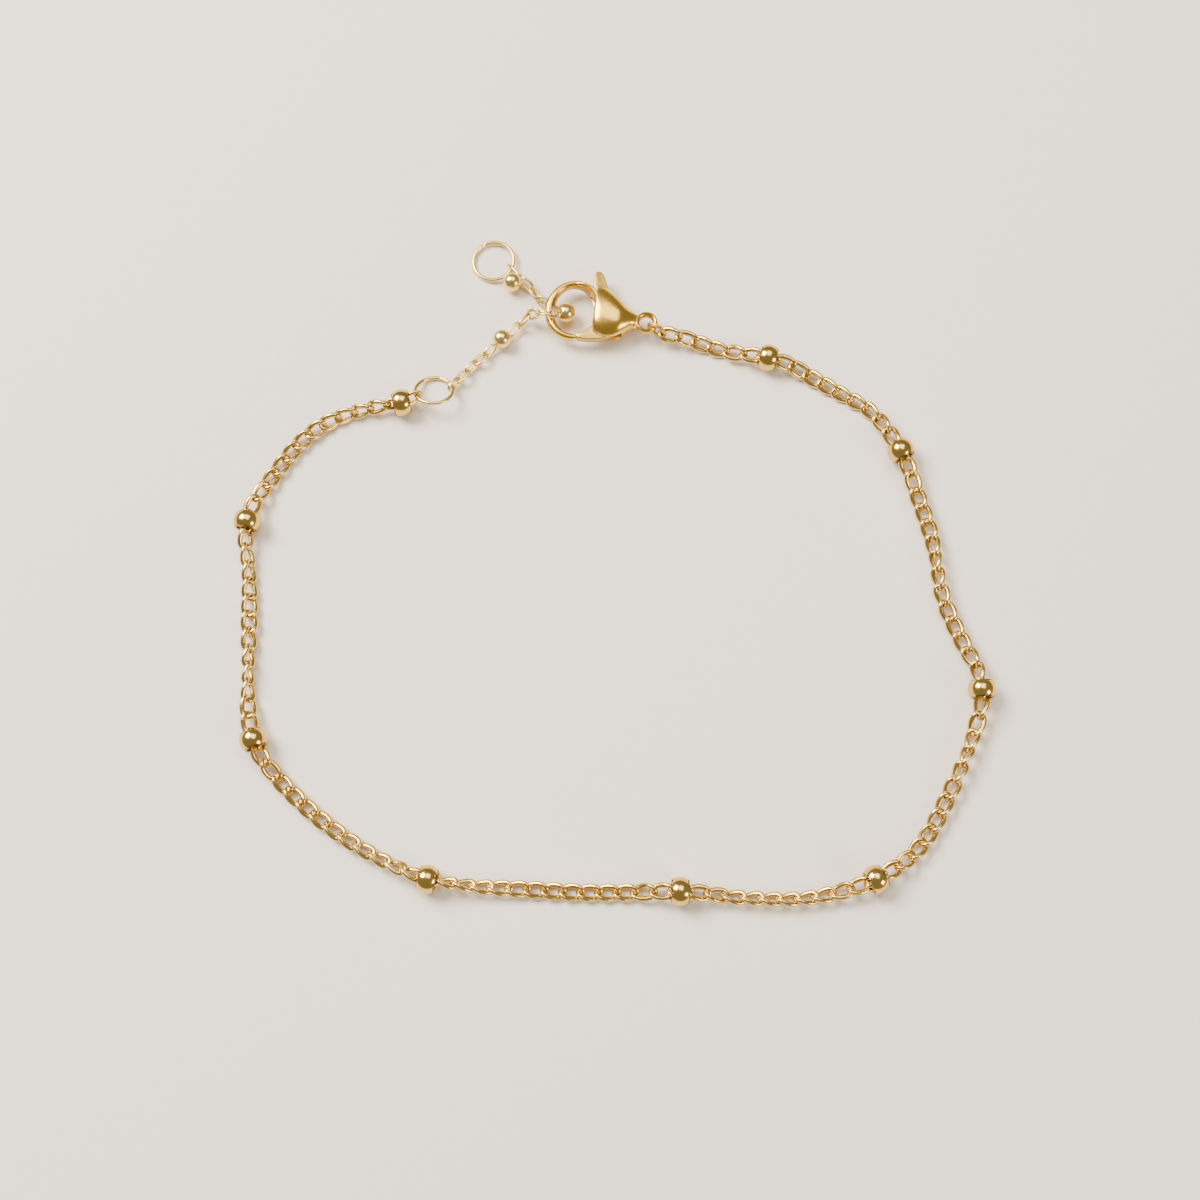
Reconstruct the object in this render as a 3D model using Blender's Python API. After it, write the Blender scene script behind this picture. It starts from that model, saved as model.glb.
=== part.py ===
"""A satellite chain bracelet, lying closed on a flat surface. Metres, +Z up.

A curb chain with nine round beads runs from a lobster clasp round the wrist to a jump ring. A fine
extender chain with three small balls goes on from there, and the clasp is clipped round it. The
origin is under the middle of the bracelet's box, on the surface that it rests on.
"""

import math

import bmesh
import bpy
import numpy as np
from mathutils import Matrix, Vector

MM = 0.001
UP = Vector((0, 0, 1))

# Curb chain: twisted oval links, all alike apart from the narrower ones inside the beads
CURB_PITCH = 1.50 * MM
CURB_WIDTH = 1.50 * MM
CURB_WIDTH_IN_BEAD = 1.26 * MM
CURB_WIRE = 0.35 * MM
CURB_TWIST = math.radians(45)

# Rondelle beads, drilled for the chain
BEAD_DIAMETER = 2.40 * MM
BEAD_LENGTH = 1.44 * MM
BEAD_FACE_DIAMETER = 1.90 * MM
BEAD_HOLE_CLEARANCE = 0.17 * MM

# Extender chain: plain oval links with small balls soldered between them
EXTENDER_PITCH = 1.06 * MM
EXTENDER_WIDTH = 1.05 * MM
EXTENDER_WIRE = 0.22 * MM
BALL_DIAMETER = 1.75 * MM
BALL_SOLDER = 0.05 * MM

# Round rings of wire: outer diameters, and the hairline cut where each one closes
CLASP_RING_DIAMETER = 2.00 * MM
JUMP_RING_DIAMETER = 3.72 * MM
END_RING_DIAMETER = 4.04 * MM
RING_WIRE = 0.35 * MM
RING_CUT = 0.05 * MM

# Lobster clasp. Its own axes are X from the hook to the tail, Y towards the thumb nub and Z through
# its thickness, with the origin in the middle of the body.
CLASP_PLACE = (-0.61 * MM, 22.03 * MM)
CLASP_HEADING = math.radians(-6.7)
BODY_START = -1.30 * MM
BODY_LENGTH = 3.90 * MM
BODY_HEIGHT = 5.00 * MM
BODY_THICKNESS = 2.96 * MM
BODY_OVER_FLATS = 2.76 * MM
HOOK_CENTRE = (-3.10 * MM, 0.30 * MM)
HOOK_REACH = 2.20 * MM
HOOK_RISE = 2.55 * MM
HOOK_BAR = 0.93 * MM
HOOK_THICKNESS = 1.16 * MM
HOOK_FIRST_ANGLE = 20
HOOK_TIP_ANGLE = 280
HOOK_TIP_SLANT = math.radians(23.5)
TAIL_DIAMETER = 2.12 * MM
TAIL_SINK = 0.20 * MM
TAIL_CENTRE = (BODY_START + BODY_LENGTH + TAIL_DIAMETER / 2 - TAIL_SINK, -0.10 * MM)
TAIL_BAR = 0.42 * MM
TAIL_THICKNESS = 0.80 * MM
PIVOT = (0.15 * MM, -0.75 * MM)
LEVER_THICKNESS = 0.80 * MM
LEVER_CLEARANCE = 0.10 * MM
RIVET_DIAMETER = 0.60 * MM
RIVET_CLEARANCE = 0.06 * MM

# Fits. Neighbouring links are joined across SOLDER_NECK, where their wires meet.
SOLDER_NECK = 0.06 * MM
HOOK_GAP = 0.06 * MM
BEAD_PLATEAU = 1.10 * MM
BEAD_FALL = 3.00 * MM

# One unit of the route tables below, and of the places of the rings and balls
ROUTE_UNIT = 1.00 * MM

# Facets
LINK_STEPS = 10
LINK_SIDES = 5
RING_STEPS = 14
RING_SIDES = 5
BEAD_SIDES = 12
BALL_SIDES = 10
BODY_SIDES = 16
HOOK_STEPS = 14
HOOK_SIDES = 8
TAIL_STEPS = 12
TAIL_SIDES = 6

# Sections of the clasp's body from its mouth to its neck. The columns are the place along the body,
# the lower and the upper edge, and the thickness, as shares of the body's length, height, height
# and thickness.
BODY_SECTIONS = (
    (0.00, -0.310, 0.590, 0.78),
    (0.18, -0.410, 0.580, 0.96),
    (0.385, -0.420, 0.480, 1.00),
    (0.59, -0.370, 0.345, 0.96),
    (0.77, -0.260, 0.210, 0.72),
    (0.90, -0.170, 0.150, 0.54),
    (1.00, -0.150, 0.120, 0.42),
)

# The hook's bar round its oval. The columns are the angle in degrees, and the bar's width and
# thickness as shares of HOOK_BAR and HOOK_THICKNESS.
HOOK_SECTIONS = (
    (20, 0.78, 1.95),
    (55, 0.76, 1.85),
    (68, 0.73, 1.50),
    (80, 0.70, 1.15),
    (95, 0.70, 0.95),
    (130, 0.82, 0.85),
    (175, 1.00, 0.80),
    (230, 0.82, 0.80),
    (261, 0.67, 0.76),
    (280, 0.60, 0.70),
)

# Outline of the lever from the gate's tip round the barrel to the thumb nub and back, in the
# clasp's own axes: shares of HOOK_REACH across and of BODY_HEIGHT up, from the pivot.
LEVER_OUTLINE = (
    (-1.195, -0.330),
    (-0.800, -0.334),
    (-0.340, -0.306),
    (0.060, -0.240),
    (0.250, -0.120),
    (0.330, 0.010),
    (0.220, 0.120),
    (-0.218, 0.718),
    (-0.410, 0.920),
    (-0.545, 0.994),
    (-0.727, 1.000),
    (-0.850, 0.930),
    (-0.832, 0.746),
    (-0.420, 0.060),
    (-0.660, -0.050),
    (-0.980, -0.180),
    (-1.330, -0.243),
)

# Outline of the slot that the lever swings in: closed at the hook's root and at the neck, open at
# the mouth, the top and the bottom. The columns are shares of BODY_LENGTH from the mouth and of
# BODY_HEIGHT up from the middle.
SLOT_OUTLINE = (
    (-0.133, 1.000),
    (-0.133, 0.340),
    (-0.231, 0.300),
    (-0.231, -0.700),
    (0.667, -0.700),
    (0.705, -0.120),
    (0.680, 0.180),
    (0.667, 1.000),
)

# The curb chain's route on the surface, from the clasp round to the extender. The columns are x and
# y in millimetres, the roll of the chain there in degrees, and on the nine rows that carry a bead,
# how far it has slid from the middle of its link in millimetres.
CURB_ROUTE = (
    (6.7, 20.1, 20, None),
    (8.9, 19.4, 50, None),
    (11.2, 18.75, 20, None),
    (13.6, 18.3, 0, 0.0),
    (16.0, 17.5, 15, None),
    (20.3, 14.9, 55, None),
    (22.3, 13.75, 60, None),
    (23.65, 12.2, 45, None),
    (25.4, 8.85, 10, 0.0),
    (26.2, 6.6, 20, None),
    (27.5, 2.0, 25, None),
    (27.8, -0.3, 70, None),
    (28.05, -2.6, 55, None),
    (28.6, -4.75, 15, None),
    (30.0, -8.2, 30, None),
    (30.75, -9.7, 50, None),
    (31.05, -11.3, 60, 0.0),
    (31.05, -13.15, 50, None),
    (30.6, -14.8, 15, None),
    (30.0, -16.55, 60, None),
    (29.2, -18.3, 70, None),
    (28.3, -20.2, 25, None),
    (26.5, -23.6, 10, None),
    (25.2, -25.35, 20, None),
    (23.85, -26.6, 20, None),
    (22.1, -27.6, 10, 0.0),
    (20.2, -28.5, 10, None),
    (15.6, -29.5, 45, None),
    (10.65, -29.45, 45, None),
    (8.15, -29.2, 30, None),
    (5.2, -28.95, 0, 0.0),
    (-2.2, -29.0, 0, None),
    (-7.1, -28.75, 0, None),
    (-11.7, -28.5, 45, None),
    (-13.8, -28.25, 60, None),
    (-16.05, -27.8, 50, 0.0),
    (-19.85, -26.1, 45, None),
    (-23.4, -23.9, 20, None),
    (-26.7, -21.2, 0, None),
    (-29.5, -18.2, 0, None),
    (-30.6, -16.15, 0, 0.0),
    (-31.1, -14.0, 5, None),
    (-31.3, -11.85, 60, None),
    (-31.35, -9.65, 80, None),
    (-31.5, -6.0, 15, None),
    (-31.6, -3.0, 40, None),
    (-31.8, -0.75, 60, None),
    (-32.15, 1.5, 45, None),
    (-31.9, 3.55, 20, 0.0),
    (-31.1, 5.7, 0, None),
    (-29.0, 9.0, 5, None),
    (-27.85, 10.5, 10, None),
    (-26.4, 11.75, 20, None),
    (-24.75, 12.7, 50, None),
    (-22.6, 13.4, 65, None),
    (-20.4, 13.8, 60, None),
    (-18.6, 14.1, 40, 0.55),
)
CURB_FIRST_ROLL = 45
CURB_LAST_ROLL = 23

# Where the rings lie: x, y and z in millimetres, the tilt in degrees that lifts an edge, and the
# heading in degrees of the level line that the ring tilts about
JUMP_RING_PLACE = (-16.06, 15.25, 0.96)
JUMP_RING_TILT = -27
JUMP_RING_HEADING = 0
END_RING_PLACE = (-11.00, 28.05, 0.36)
END_RING_TILT = -5
END_RING_HEADING = 90
CLASP_RING_HEADING = math.radians(-32)
CLASP_RING_DROP = 0.08 * MM
CURB_ON_JUMP_RING = math.radians(205)
EXTENDER_ON_JUMP_RING = math.radians(20)
EXTENDER_ON_END_RING = math.radians(-115)

# The extender's route between the rings, in millimetres: one row of points for each run between two
# balls, or between a ball and a ring. It goes over the hook's bar into the clasp's eye and leaves
# under the bar. The balls' own places are the three points of EXTENDER_BALLS.
EXTENDER_BALLS = (
    (-10.12, 20.22, 0.88),
    (-4.38, 22.62, 1.15),
    (-9.25, 25.75, 0.88),
)
EXTENDER_RUNS = (
    ((-13.8, 16.55, 0.60), (-12.75, 17.75, 0.56), (-11.3, 19.05, 0.60)),
    (
        (-9.0, 21.05, 0.60),
        (-8.4, 21.85, 0.75),
        (-7.75, 22.35, 1.15),
        (-7.1, 22.35, 1.75),
        (-6.4, 22.1, 2.26),
        (-5.85, 22.05, 2.43),
        (-5.2, 22.25, 2.20),
    ),
    (
        (-4.95, 23.05, 0.45),
        (-5.75, 23.65, 0.43),
        (-6.6, 24.0, 0.44),
        (-7.35, 24.9, 0.50),
        (-7.8, 25.7, 0.60),
        (-8.3, 26.0, 0.75),
    ),
    ((-8.55, 26.4, 0.85),),
)
EXTENDER_ROLLS = (None, 45, 45, None)

# Wire radii of the faceted links: the corners stand a little outside the round wire and the flats a
# little inside it
CORNER_SHARE = 1.08
FLAT_SHARE = CORNER_SHARE * math.cos(math.pi / LINK_SIDES)

# Where the rings of corners that bound a link's two end flats stand in its row, and the two corners
# of each that face the link's middle
NEAR_END = (LINK_STEPS // 2 - 1, LINK_STEPS // 2)
FAR_END = (LINK_STEPS - 1, 0)
INNER_CORNERS = (0, LINK_SIDES - 1)


def clear_scene():
    """Remove whatever the file holds."""
    for thing in list(bpy.data.objects):
        bpy.data.objects.remove(thing)


def gold(name, colour, roughness):
    """A polished gold-coloured metal."""
    material = bpy.data.materials.new(name)
    material.use_nodes = True
    shader = material.node_tree.nodes["Principled BSDF"]
    shader.inputs["Base Color"].default_value = (*colour, 1)
    shader.inputs["Metallic"].default_value = 1
    shader.inputs["Roughness"].default_value = roughness
    return material


def new_object(name, bm, material, parent, matrix=None):
    """Turn a bmesh into an object with its faces pointing out."""
    bmesh.ops.recalc_face_normals(bm, faces=bm.faces)
    bmesh.ops.triangulate(bm, faces=[face for face in bm.faces if len(face.verts) == 4])
    mesh = bpy.data.meshes.new(name)
    bm.to_mesh(mesh)
    bm.free()
    mesh.materials.append(material)
    mesh.shade_smooth()
    mesh.set_sharp_from_angle(angle=math.radians(50))
    return place_mesh(name, mesh, parent, matrix)


def place_mesh(name, mesh, parent, matrix=None):
    """Put a mesh into the scene as a named object under its parent."""
    thing = bpy.data.objects.new(name, mesh)
    bpy.context.scene.collection.objects.link(thing)
    thing.parent = parent
    if matrix is not None:
        thing.matrix_local = matrix
    return thing


def boolean(target, helper, operation):
    """Join or cut the target with a helper, which stays out of renders."""
    helper.hide_render = True
    helper.display_type = "WIRE"
    modifier = target.modifiers.new(f"{operation.lower()} {helper.name}", "BOOLEAN")
    modifier.operation = operation
    modifier.solver = "EXACT"
    modifier.object = helper


def add_tube(bm, rings, closed):
    """Skin a row of rings of points. A closed tube joins its last ring to its first."""
    rows = [[bm.verts.new(point) for point in ring] for ring in rings]
    following = rows[1:] + rows[:1] if closed else rows[1:]
    for row, after in zip(rows, following):
        for j, corner in enumerate(row):
            k = (j + 1) % len(row)
            bm.faces.new((corner, row[k], after[k], after[j]))
    if not closed:
        bm.faces.new(rows[0])
        bm.faces.new(rows[-1])


class Path:
    """A smooth curve through chosen points, read by the distance along it."""

    STEPS = 24

    def __init__(self, points):
        chosen = np.array([tuple(point) for point in points], float)
        padded = np.vstack([2 * chosen[0] - chosen[1], chosen, 2 * chosen[-1] - chosen[-2]])
        share = np.arange(self.STEPS)[:, None] / self.STEPS
        spans = [self.span(*padded[i : i + 4], share) for i in range(len(chosen) - 1)]
        self.points = np.vstack(spans + [chosen[-1:]])
        steps = np.linalg.norm(np.diff(self.points, axis=0), axis=1)
        self.distances = np.concatenate([[0], np.cumsum(steps)])
        self.length = self.distances[-1]
        self.marks = self.distances[:: self.STEPS]

    @staticmethod
    def span(before, first, last, after, share):
        """Points of one stretch between two chosen points, tangent to its neighbours."""
        start, end = (last - before) / 2, (after - first) / 2
        bend = 2 * first - 2 * last + start + end
        return first + share * (start + share * (3 * (last - first) - 2 * start - end + share * bend))

    def at(self, distance):
        """The point at a distance, carried straight on past either end."""
        inside = min(max(distance, 0), self.length)
        point = np.array([np.interp(inside, self.distances, column) for column in self.points.T])
        if distance < 0:
            step = self.points[1] - self.points[0]
        else:
            step = self.points[-1] - self.points[-2]
        return Vector(point + step / np.linalg.norm(step) * (distance - inside))


def link_line(start, end, width, wire, twist, roll, reaches):
    """Points and outward directions along the middle of one oval link's wire.

    The link lies from start to end and reaches a little past both, round its neighbours' wire.
    """
    axis = (end - start).normalized()
    side = UP.cross(axis).normalized()
    top = axis.cross(side)
    first, last = start - axis * reaches[0], end + axis * reaches[1]
    middle = (first + last) / 2
    half_length = (last - first).length / 2
    half_width = (width - wire) / 2
    line = []
    for step in range(LINK_STEPS):
        angle = math.tau * (step + 0.5) / LINK_STEPS
        along, across = math.cos(angle), math.sin(angle)
        turn = roll + twist * along
        spread = side * math.cos(turn) + top * math.sin(turn)
        blunt = math.copysign(abs(across) ** 0.85, across)
        outward = axis * (along / half_length) + spread * (across / half_width)
        line.append((middle + axis * half_length * along + spread * half_width * blunt, outward))
    return line


def link_rings(line, wire):
    """Rings of corners round a link's line, with a flat of the wire facing the link's middle."""
    rings = []
    for before, here, after in zip(line[-1:] + line[:-1], line, line[1:] + line[:1]):
        along = (after[0] - before[0]).normalized()
        outward = (here[1] - along * here[1].dot(along)).normalized()
        third = along.cross(outward)
        ring = []
        for side in range(LINK_SIDES):
            angle = math.pi + math.tau * (side + 0.5) / LINK_SIDES
            reach = outward * math.cos(angle) + third * math.sin(angle)
            ring.append(here[0] + reach * wire / 2 * CORNER_SHARE)
        rings.append(ring)
    return rings


def link_reach(wire):
    """How far a link's wire line reaches past the point where it meets the next link."""
    return wire / 2 * FLAT_SHARE + SOLDER_NECK / 2


def end_flat(rows, steps):
    """The four corners of the flat at one end of a link that faces the link's middle."""
    return [rows[step][corner] for step in steps for corner in INNER_CORNERS]


def solder(bm, ahead, behind):
    """Join two facing end flats, the farther first, by a short neck of metal."""
    middle = sum((corner.co for corner in ahead + behind), Vector()) / 8
    along = (sum((a.co - b.co for a, b in zip(ahead, behind)), Vector())).normalized()
    level = along.orthogonal().normalized()
    across = along.cross(level)
    for corners, offset in ((ahead, SOLDER_NECK / 2), (behind, -SOLDER_NECK / 2)):
        for corner in corners:
            corner.co += along * (offset - (corner.co - middle).dot(along))
        corners.sort(key=lambda v: math.atan2((v.co - middle).dot(across), (v.co - middle).dot(level)))
    turns = [behind[turn:] + behind[:turn] for turn in range(4)]
    match = min(turns, key=lambda turn: sum((a.co - b.co).length for a, b in zip(ahead, turn)))
    for i in range(4):
        j = (i + 1) % 4
        bm.faces.new((ahead[i], ahead[j], match[j], match[i]))


def add_links(bm, links, breaks=()):
    """Skin a row of links, given as lines and wires, and solder each to the next but for breaks."""
    before = None
    for number, (line, wire) in enumerate(links):
        rows = [[bm.verts.new(point) for point in ring] for ring in link_rings(line, wire)]
        joined = number > 0 and number not in breaks
        joins_next = number < len(links) - 1 and number + 1 not in breaks
        for step, row in enumerate(rows):
            following = rows[(step + 1) % LINK_STEPS]
            open_end = (step == NEAR_END[0] and joined) or (step == FAR_END[0] and joins_next)
            for j, corner in enumerate(row):
                k = (j + 1) % LINK_SIDES
                if not (open_end and j == LINK_SIDES - 1):
                    bm.faces.new((corner, row[k], following[k], following[j]))
        if joined:
            solder(bm, end_flat(before, FAR_END), end_flat(rows, NEAR_END))
        before = rows


class Ring:
    """A round ring of wire with a hairline cut, placed by its middle and the turn of its plane."""

    def __init__(self, name, diameter, middle, turn, cut_angle):
        self.name = name
        self.radius = (diameter - RING_WIRE) / 2
        self.middle = Vector(middle)
        self.turn = turn
        self.cut_angle = cut_angle

    def at(self, angle):
        """The point in the middle of the wire at an angle round the ring."""
        flat = Vector((math.cos(angle), math.sin(angle), 0)) * self.radius
        return self.middle + self.turn @ flat

    def wire_at(self, angle):
        """The direction of the wire at an angle round the ring."""
        return self.turn @ Vector((-math.sin(angle), math.cos(angle), 0))

    def past(self, angle, onward, wire):
        """How far beyond the ring's wire a link that lies along onward ends, so that it hooks on."""
        slant = abs(self.wire_at(angle).dot(onward.normalized()))
        half = (RING_WIRE + wire * CORNER_SHARE * slant) / 2 / math.sqrt(1 - slant**2)
        return half + wire / 2 * CORNER_SHARE + HOOK_GAP - link_reach(wire)

    def roll_through(self, angle, onward):
        """The roll in degrees at which the hole of a link that lies along onward faces the wire."""
        wire = self.wire_at(angle)
        axis = onward.normalized()
        side = UP.cross(axis).normalized()
        spread = wire.cross(axis)
        return math.degrees(math.atan2(spread.dot(axis.cross(side)), spread.dot(side)))

    def build(self, material, parent):
        """Sweep the wire from one side of the cut round to the other."""
        bm = bmesh.new()
        half_cut = RING_CUT / self.radius / 2
        rings = []
        for step in range(RING_STEPS + 1):
            share = step / RING_STEPS
            angle = self.cut_angle + half_cut + share * (math.tau - 2 * half_cut)
            outward = Vector((math.cos(angle), math.sin(angle), 0))
            ring = []
            for side in range(RING_SIDES):
                lean = math.tau * side / RING_SIDES
                reach = outward * math.cos(lean) + UP * math.sin(lean)
                ring.append(outward * self.radius + reach * RING_WIRE / 2)
            rings.append(ring)
        add_tube(bm, rings, closed=False)
        matrix = Matrix.Translation(self.middle) @ self.turn.to_4x4()
        return new_object(self.name, bm, material, parent, matrix)


def clasp_matrix():
    """The clasp's place: flat side down on the surface."""
    return Matrix.Translation((*CLASP_PLACE, BODY_OVER_FLATS / 2)) @ Matrix.Rotation(CLASP_HEADING, 4, "Z")


def tilted(heading, tilt):
    """The turn of a ring that tilts about a level line, with both angles in degrees."""
    return Matrix.Rotation(math.radians(heading), 3, "Z") @ Matrix.Rotation(math.radians(tilt), 3, "X")


def make_rings():
    """The three rings of wire, from the clasp round to the extender's free end."""
    tail = clasp_matrix() @ Vector((*TAIL_CENTRE, 0))
    heading = Vector((math.cos(CLASP_RING_HEADING), math.sin(CLASP_RING_HEADING), 0))
    standing = Matrix((heading, UP, heading.cross(UP))).transposed()
    outside_tail = TAIL_DIAMETER / 2 + HOOK_GAP
    clasp_middle = tail + heading * outside_tail - UP * CLASP_RING_DROP
    clasp_ring = Ring("clasp_ring", CLASP_RING_DIAMETER, clasp_middle, standing, math.radians(55))
    jump_turn = tilted(JUMP_RING_HEADING, JUMP_RING_TILT)
    jump_middle = Vector(JUMP_RING_PLACE) * ROUTE_UNIT
    jump_ring = Ring("jump_ring", JUMP_RING_DIAMETER, jump_middle, jump_turn, math.radians(75))
    end_turn = tilted(END_RING_HEADING, END_RING_TILT)
    end_middle = Vector(END_RING_PLACE) * ROUTE_UNIT
    end_ring = Ring("end_ring", END_RING_DIAMETER, end_middle, end_turn, math.radians(28))
    return clasp_ring, jump_ring, end_ring


def lying_height(roll):
    """How high the curb chain's middle lies above the surface when it is rolled by this much."""
    line = link_line(
        Vector((0, 0, 0)), Vector((CURB_PITCH, 0, 0)), CURB_WIDTH, CURB_WIRE, CURB_TWIST, roll,
        (link_reach(CURB_WIRE), link_reach(CURB_WIRE)),
    )
    return max(-point.z for point, _ in line) + CURB_WIRE / 2 * CORNER_SHARE


class CurbChain:
    """The curb chain's joints, rolls and beads, worked out from its route."""

    def __init__(self, clasp_ring, jump_ring):
        rows = [Vector((x, y, 0)) * ROUTE_UNIT for x, y, _, _ in CURB_ROUTE]
        self.ends = clasp_ring.at(0), jump_ring.at(CURB_ON_JUMP_RING)
        joints = []
        for ring, angle, end, row in zip(
            (clasp_ring, jump_ring), (0, CURB_ON_JUMP_RING), self.ends, (rows[0], rows[-1])
        ):
            onward = end - Vector((*row.xy, end.z))
            joints.append(end + onward.normalized() * ring.past(angle, onward, CURB_WIRE))
        points = [joints[0], *rows, joints[1]]
        self.path = Path([(point.x, point.y) for point in points])
        self.rolls = [CURB_FIRST_ROLL, *[row[2] for row in CURB_ROUTE], CURB_LAST_ROLL]
        self.count = round(self.path.length / CURB_PITCH)
        self.pitch = self.path.length / self.count
        self.beads = []
        for row, mark in zip(CURB_ROUTE, self.path.marks[1:-1]):
            if row[3] is not None:
                slide = row[3] * ROUTE_UNIT
                middle = (math.floor((mark - slide) / self.pitch) + 0.5) * self.pitch
                self.beads.append(middle + slide)

    def roll(self, distance):
        """The chain's roll at a distance along it."""
        return math.radians(np.interp(distance, self.path.marks, self.rolls))

    def height(self, distance):
        """The chain's height: held up by its ends and its beads, and lying on the surface between."""
        lying = lying_height(self.roll(distance))
        supports = [(bead, BEAD_DIAMETER / 2) for bead in self.beads]
        supports += [(0, self.ends[0].z), (self.path.length, self.ends[1].z)]
        height = lying
        for place, top in supports:
            away = (abs(distance - place) - BEAD_PLATEAU) / BEAD_FALL
            fade = 0.5 + 0.5 * math.cos(math.pi * min(max(away, 0), 1))
            height = max(height, lying + (top - lying) * fade)
        return height

    def at(self, distance):
        """The chain's middle in space."""
        flat = self.path.at(distance)
        return Vector((flat.x, flat.y, self.height(distance)))

    def links(self, first, last):
        """The lines and wires of a run of links. Its two outer ends hook on without touching."""
        fused = link_reach(CURB_WIRE)
        loose = CURB_WIRE / 2 * CORNER_SHARE + HOOK_GAP / 2
        made = []
        for number in range(first, last):
            middle = (number + 0.5) * self.pitch
            in_bead = min(abs(middle - bead) for bead in self.beads) < BEAD_LENGTH / 2 + self.pitch / 3
            reaches = (
                loose if number == first and first > 0 else fused,
                loose if number == last - 1 and last < self.count else fused,
            )
            line = link_line(
                self.at(number * self.pitch),
                self.at((number + 1) * self.pitch),
                CURB_WIDTH_IN_BEAD if in_bead else CURB_WIDTH,
                CURB_WIRE,
                CURB_TWIST,
                self.roll(middle),
                reaches,
            )
            made.append((line, CURB_WIRE))
        return made

    def build(self, material, parent):
        """The chain as two runs that hook into each other half-way round."""
        half = self.count // 2
        for name, first, last in (("right", 0, half), ("left", half, self.count)):
            bm = bmesh.new()
            add_links(bm, self.links(first, last))
            new_object(f"curb_chain_{name}", bm, material, parent)


def bead_mesh(material):
    """A rondelle turned round X: a barrel between two flat faces, drilled through."""
    hole = CURB_WIDTH_IN_BEAD / 2 + BEAD_HOLE_CLEARANCE
    half, face, belly = BEAD_LENGTH / 2, BEAD_FACE_DIAMETER / 2, BEAD_DIAMETER / 2
    shoulder_out = half * 0.72
    shoulder_up = face + (belly - face) * 0.66
    profile = (
        (-half, hole),
        (-half, face),
        (-shoulder_out, shoulder_up),
        (0, belly),
        (shoulder_out, shoulder_up),
        (half, face),
        (half, hole),
    )
    bm = bmesh.new()
    rings = []
    for side in range(BEAD_SIDES):
        angle = math.tau * side / BEAD_SIDES
        rings.append([(x, r * math.cos(angle), r * math.sin(angle)) for x, r in profile])
    add_tube(bm, rings, closed=True)
    bmesh.ops.recalc_face_normals(bm, faces=bm.faces)
    mesh = bpy.data.meshes.new("bead")
    bm.to_mesh(mesh)
    bm.free()
    mesh.materials.append(material)
    mesh.shade_smooth()
    mesh.set_sharp_from_angle(angle=math.radians(50))
    return mesh


def build_beads(chain, material, parent):
    """Nine beads that share one mesh, each on the chain's line with the chain through its hole."""
    mesh = bead_mesh(material)
    for number, place in enumerate(chain.beads):
        ahead = chain.at(place + BEAD_LENGTH / 2) - chain.at(place - BEAD_LENGTH / 2)
        turn = Matrix.Rotation(math.atan2(ahead.y, ahead.x), 4, "Z")
        middle = chain.at(place)
        middle.z = BEAD_DIAMETER / 2
        place_mesh(f"bead_{9 - number}", mesh, parent, Matrix.Translation(middle) @ turn)


def build_extender(jump_ring, end_ring, material, parent):
    """The fine chain from the jump ring past the three balls to the end ring."""
    reach = link_reach(EXTENDER_WIRE)
    balls = [Vector(ball) * ROUTE_UNIT for ball in EXTENDER_BALLS]
    stops = [jump_ring.at(EXTENDER_ON_JUMP_RING), *balls, end_ring.at(EXTENDER_ON_END_RING)]
    soldered = reach + BALL_DIAMETER / 2 - BALL_SOLDER
    final = len(EXTENDER_RUNS) - 1
    links, breaks = [], []
    for number, (run, roll) in enumerate(zip(EXTENDER_RUNS, EXTENDER_ROLLS)):
        between = [Vector(point) * ROUTE_UNIT for point in run]
        path = Path([stops[number], *between, stops[number + 1]])
        first, last = soldered, path.length - soldered
        if number == 0:
            onward = path.at(0) - path.at(EXTENDER_PITCH)
            first = -jump_ring.past(EXTENDER_ON_JUMP_RING, onward, EXTENDER_WIRE)
            roll = jump_ring.roll_through(EXTENDER_ON_JUMP_RING, -onward)
        if number == final:
            onward = path.at(path.length) - path.at(path.length - EXTENDER_PITCH)
            last = path.length + end_ring.past(EXTENDER_ON_END_RING, onward, EXTENDER_WIRE)
            roll = end_ring.roll_through(EXTENDER_ON_END_RING, onward)
        count = max(1, math.floor((last - first) / EXTENDER_PITCH + 0.35))
        pitch = (last - first) / count
        breaks.append(len(links))
        for place in range(count):
            line = link_line(
                path.at(first + place * pitch),
                path.at(first + (place + 1) * pitch),
                EXTENDER_WIDTH,
                EXTENDER_WIRE,
                0,
                math.radians(roll + 90 * place),
                (reach, reach),
            )
            links.append((line, EXTENDER_WIRE))
    bm = bmesh.new()
    add_links(bm, links, breaks)
    chain = new_object("extender_chain", bm, material, parent)
    bm = bmesh.new()
    for ball in balls:
        where = Matrix.Translation(ball)
        bmesh.ops.create_uvsphere(
            bm, u_segments=BALL_SIDES, v_segments=BALL_SIDES // 2 + 1, radius=BALL_DIAMETER / 2, matrix=where
        )
    boolean(chain, new_object("extender_balls", bm, material, parent), "UNION")


def oval_ring(middle, outward, half_width, half_thickness, sides):
    """Points of an oval section that stands across a bar in the clasp's plane."""
    ring = []
    for side in range(sides):
        angle = math.tau * (side + 0.5) / sides
        ring.append(middle + outward * half_width * math.cos(angle) + UP * half_thickness * math.sin(angle))
    return ring


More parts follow.
